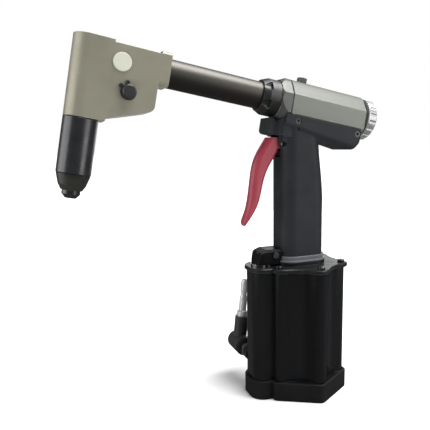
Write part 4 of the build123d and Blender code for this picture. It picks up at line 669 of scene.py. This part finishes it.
@dataclass
class Coil:
    """A copy of a spring's node, which stands in for that node."""

    node: str
    joint: str
    towards_seat: Vector
    slot: str = "bare_steel"
    weld: float = 0.000001

    def build(self) -> None:
        """Copies the node with its seams closed, hangs the copy on the node's body and hides
        the node.
        """
        node = frame["nodes"][self.node]
        coil = self.copy_of(node)
        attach(coil, node["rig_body"])
        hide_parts(self.node)
        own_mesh(coil)

    def copy_of(self, node: bpy.types.Object) -> bpy.types.Object:
        """Copies a node as a piece of its own, with its seams closed.

        Args:
            node: the object to copy.

        Returns:
            The copy, with no parent.
        """
        bpy.ops.object.select_all(action="DESELECT")
        node.select_set(True)
        bpy.context.view_layer.objects.active = node
        bpy.ops.object.duplicate()
        coil = bpy.context.view_layer.objects.active
        coil.name = f"{self.node}_coil"
        bpy.ops.object.parent_clear(type="CLEAR_KEEP_TRANSFORM")
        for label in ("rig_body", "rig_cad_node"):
            del coil[label]
        bpy.ops.object.mode_set(mode="EDIT")
        bpy.ops.mesh.select_all(action="SELECT")
        bpy.ops.mesh.remove_doubles(threshold=self.weld)
        bpy.ops.object.mode_set(mode="OBJECT")
        return coil


@dataclass(frozen=True)
class Softbox:
    """A large soft light that faces a point of the tool."""

    name: str
    place: Triple
    aim: Triple
    size: Span
    power: float

    def build(self) -> None:
        """Adds the light."""
        lamp = bpy.data.lights.new(self.name, "AREA")
        lamp.shape = "RECTANGLE"
        lamp.size, lamp.size_y = self.size
        lamp.energy = self.power
        piece = bpy.data.objects.new(self.name, lamp)
        bpy.context.scene.collection.objects.link(piece)
        look = Vector(self.aim) - Vector(self.place)
        piece.location = self.place
        piece.rotation_euler = look.to_track_quat("-Z", "Y").to_euler()


@dataclass
class Studio:
    """Pale floor, soft light and the camera at the photograph's angle."""

    floor_size: float = 40.0
    floor_shade: Shade = (248, 248, 248)
    floor_roughness: float = 0.9
    sky_shade: Light = (1.0, 1.0, 1.0, 1.0)
    sky_glow: float = 0.12
    backdrop_glow: float = 1.0
    sun_power: float = 5.0
    sun_width: float = 46.0
    sun_turn: Triple = (10.0, 20.0, 0.0)
    camera_place: Triple = (-0.2301, -0.4080, 0.2341)
    camera_tilt: float = 81.99
    camera_turn: float = -22.3
    camera_roll: float = -0.55
    camera_lens: float = 41.12
    camera_shift: Span = (-0.0585, 0.004)
    lights: tuple[Softbox, ...] = (
        Softbox("softbox_left", (-1.3, 0.05, 0.42), (-0.1, 0.0, 0.22), (1.2, 1.1), 10.0),
        Softbox("softbox_right", (0.9, -0.95, 0.4), (0.0, 0.0, 0.2), (0.7, 1.0), 6.5),
        Softbox("softbox_back", (0.55, 1.2, 0.45), (0.0, 0.0, 0.2), (1.4, 0.9), 6.0),
    )

    def build(self) -> None:
        """Builds the floor, the sky, the lights and the camera."""
        self.build_floor()
        self.build_sky()
        self.build_sun()
        for light in self.lights:
            light.build()
        self.build_camera()

    def build_floor(self) -> None:
        """Adds the pale floor under the tool, which the tool doesn't mirror."""
        bpy.ops.object.select_all(action="DESELECT")
        bpy.ops.mesh.primitive_plane_add(size=self.floor_size, location=(0.0, 0.0, 0.0))
        floor = bpy.context.active_object
        floor.name = "studio_floor"
        bench = NodeBench("studio_floor")
        bench.shader.inputs["Roughness"].default_value = self.floor_roughness
        bench.shader.inputs["Base Color"].default_value = linear(*self.floor_shade)
        floor.data.materials.append(bench.material)
        floor.visible_glossy = False

    def build_sky(self) -> None:
        """Sets a white backdrop that gives the tool only a little light of its own."""
        world = bpy.data.worlds.new("studio_sky")
        world.use_nodes = True
        nodes = world.node_tree.nodes
        links = world.node_tree.links
        glow = nodes["Background"]
        backdrop = nodes.new("ShaderNodeBackground")
        for sky, strength in ((glow, self.sky_glow), (backdrop, self.backdrop_glow)):
            sky.inputs["Color"].default_value = self.sky_shade
            sky.inputs["Strength"].default_value = strength
        ray = nodes.new("ShaderNodeLightPath")
        choice = nodes.new("ShaderNodeMixShader")
        links.new(ray.outputs["Is Camera Ray"], choice.inputs["Fac"])
        links.new(glow.outputs["Background"], choice.inputs[1])
        links.new(backdrop.outputs["Background"], choice.inputs[2])
        links.new(choice.outputs["Shader"], nodes["World Output"].inputs["Surface"])
        bpy.context.scene.world = world
        bpy.context.scene.view_settings.view_transform = "Standard"

    def build_sun(self) -> None:
        """Adds the broad overhead light, even over the whole floor."""
        lamp = bpy.data.lights.new("overhead_light", "SUN")
        lamp.energy = self.sun_power
        lamp.angle = radians(self.sun_width)
        piece = bpy.data.objects.new("overhead_light", lamp)
        bpy.context.scene.collection.objects.link(piece)
        piece.rotation_euler = [radians(angle) for angle in self.sun_turn]

    def build_camera(self) -> None:
        """Places the camera where the photograph was taken."""
        data = bpy.data.cameras.new("photo_camera")
        data.lens = self.camera_lens
        data.shift_x, data.shift_y = self.camera_shift
        camera = bpy.data.objects.new("photo_camera", data)
        bpy.context.scene.collection.objects.link(camera)
        turn = Matrix.Rotation(radians(self.camera_turn), 4, "Z")
        tilt = Matrix.Rotation(radians(self.camera_tilt), 4, "X")
        roll = Matrix.Rotation(radians(self.camera_roll), 4, "Z")
        camera.matrix_world = Matrix.Translation(self.camera_place) @ turn @ tilt @ roll
        bpy.context.scene.camera = camera


def main() -> None:
    """Builds every sub-assembly in order, then the springs and the studio."""
    logging.basicConfig(level=logging.INFO)
    shelf = {name: getattr(FINISHES, name).build() for name in FINISHES.__dataclass_fields__}
    for assembly in (AirBase(), AirValve(), AirInlet(), Grip(), Barrel(), RightAngleHead()):
        assembly.build(shelf)
    for spring in (
        Coil("valve_spring", "spool_press", -Lay.UPRIGHT.line()),
        Coil("return_spring", "rod_draw", Lay.BARREL.line()),
        Coil("jaw_spring", "pusher_slide", Lay.NOSE.line()),
    ):
        spring.build()
    Studio().build()


if __name__ == "__main__":
    main()
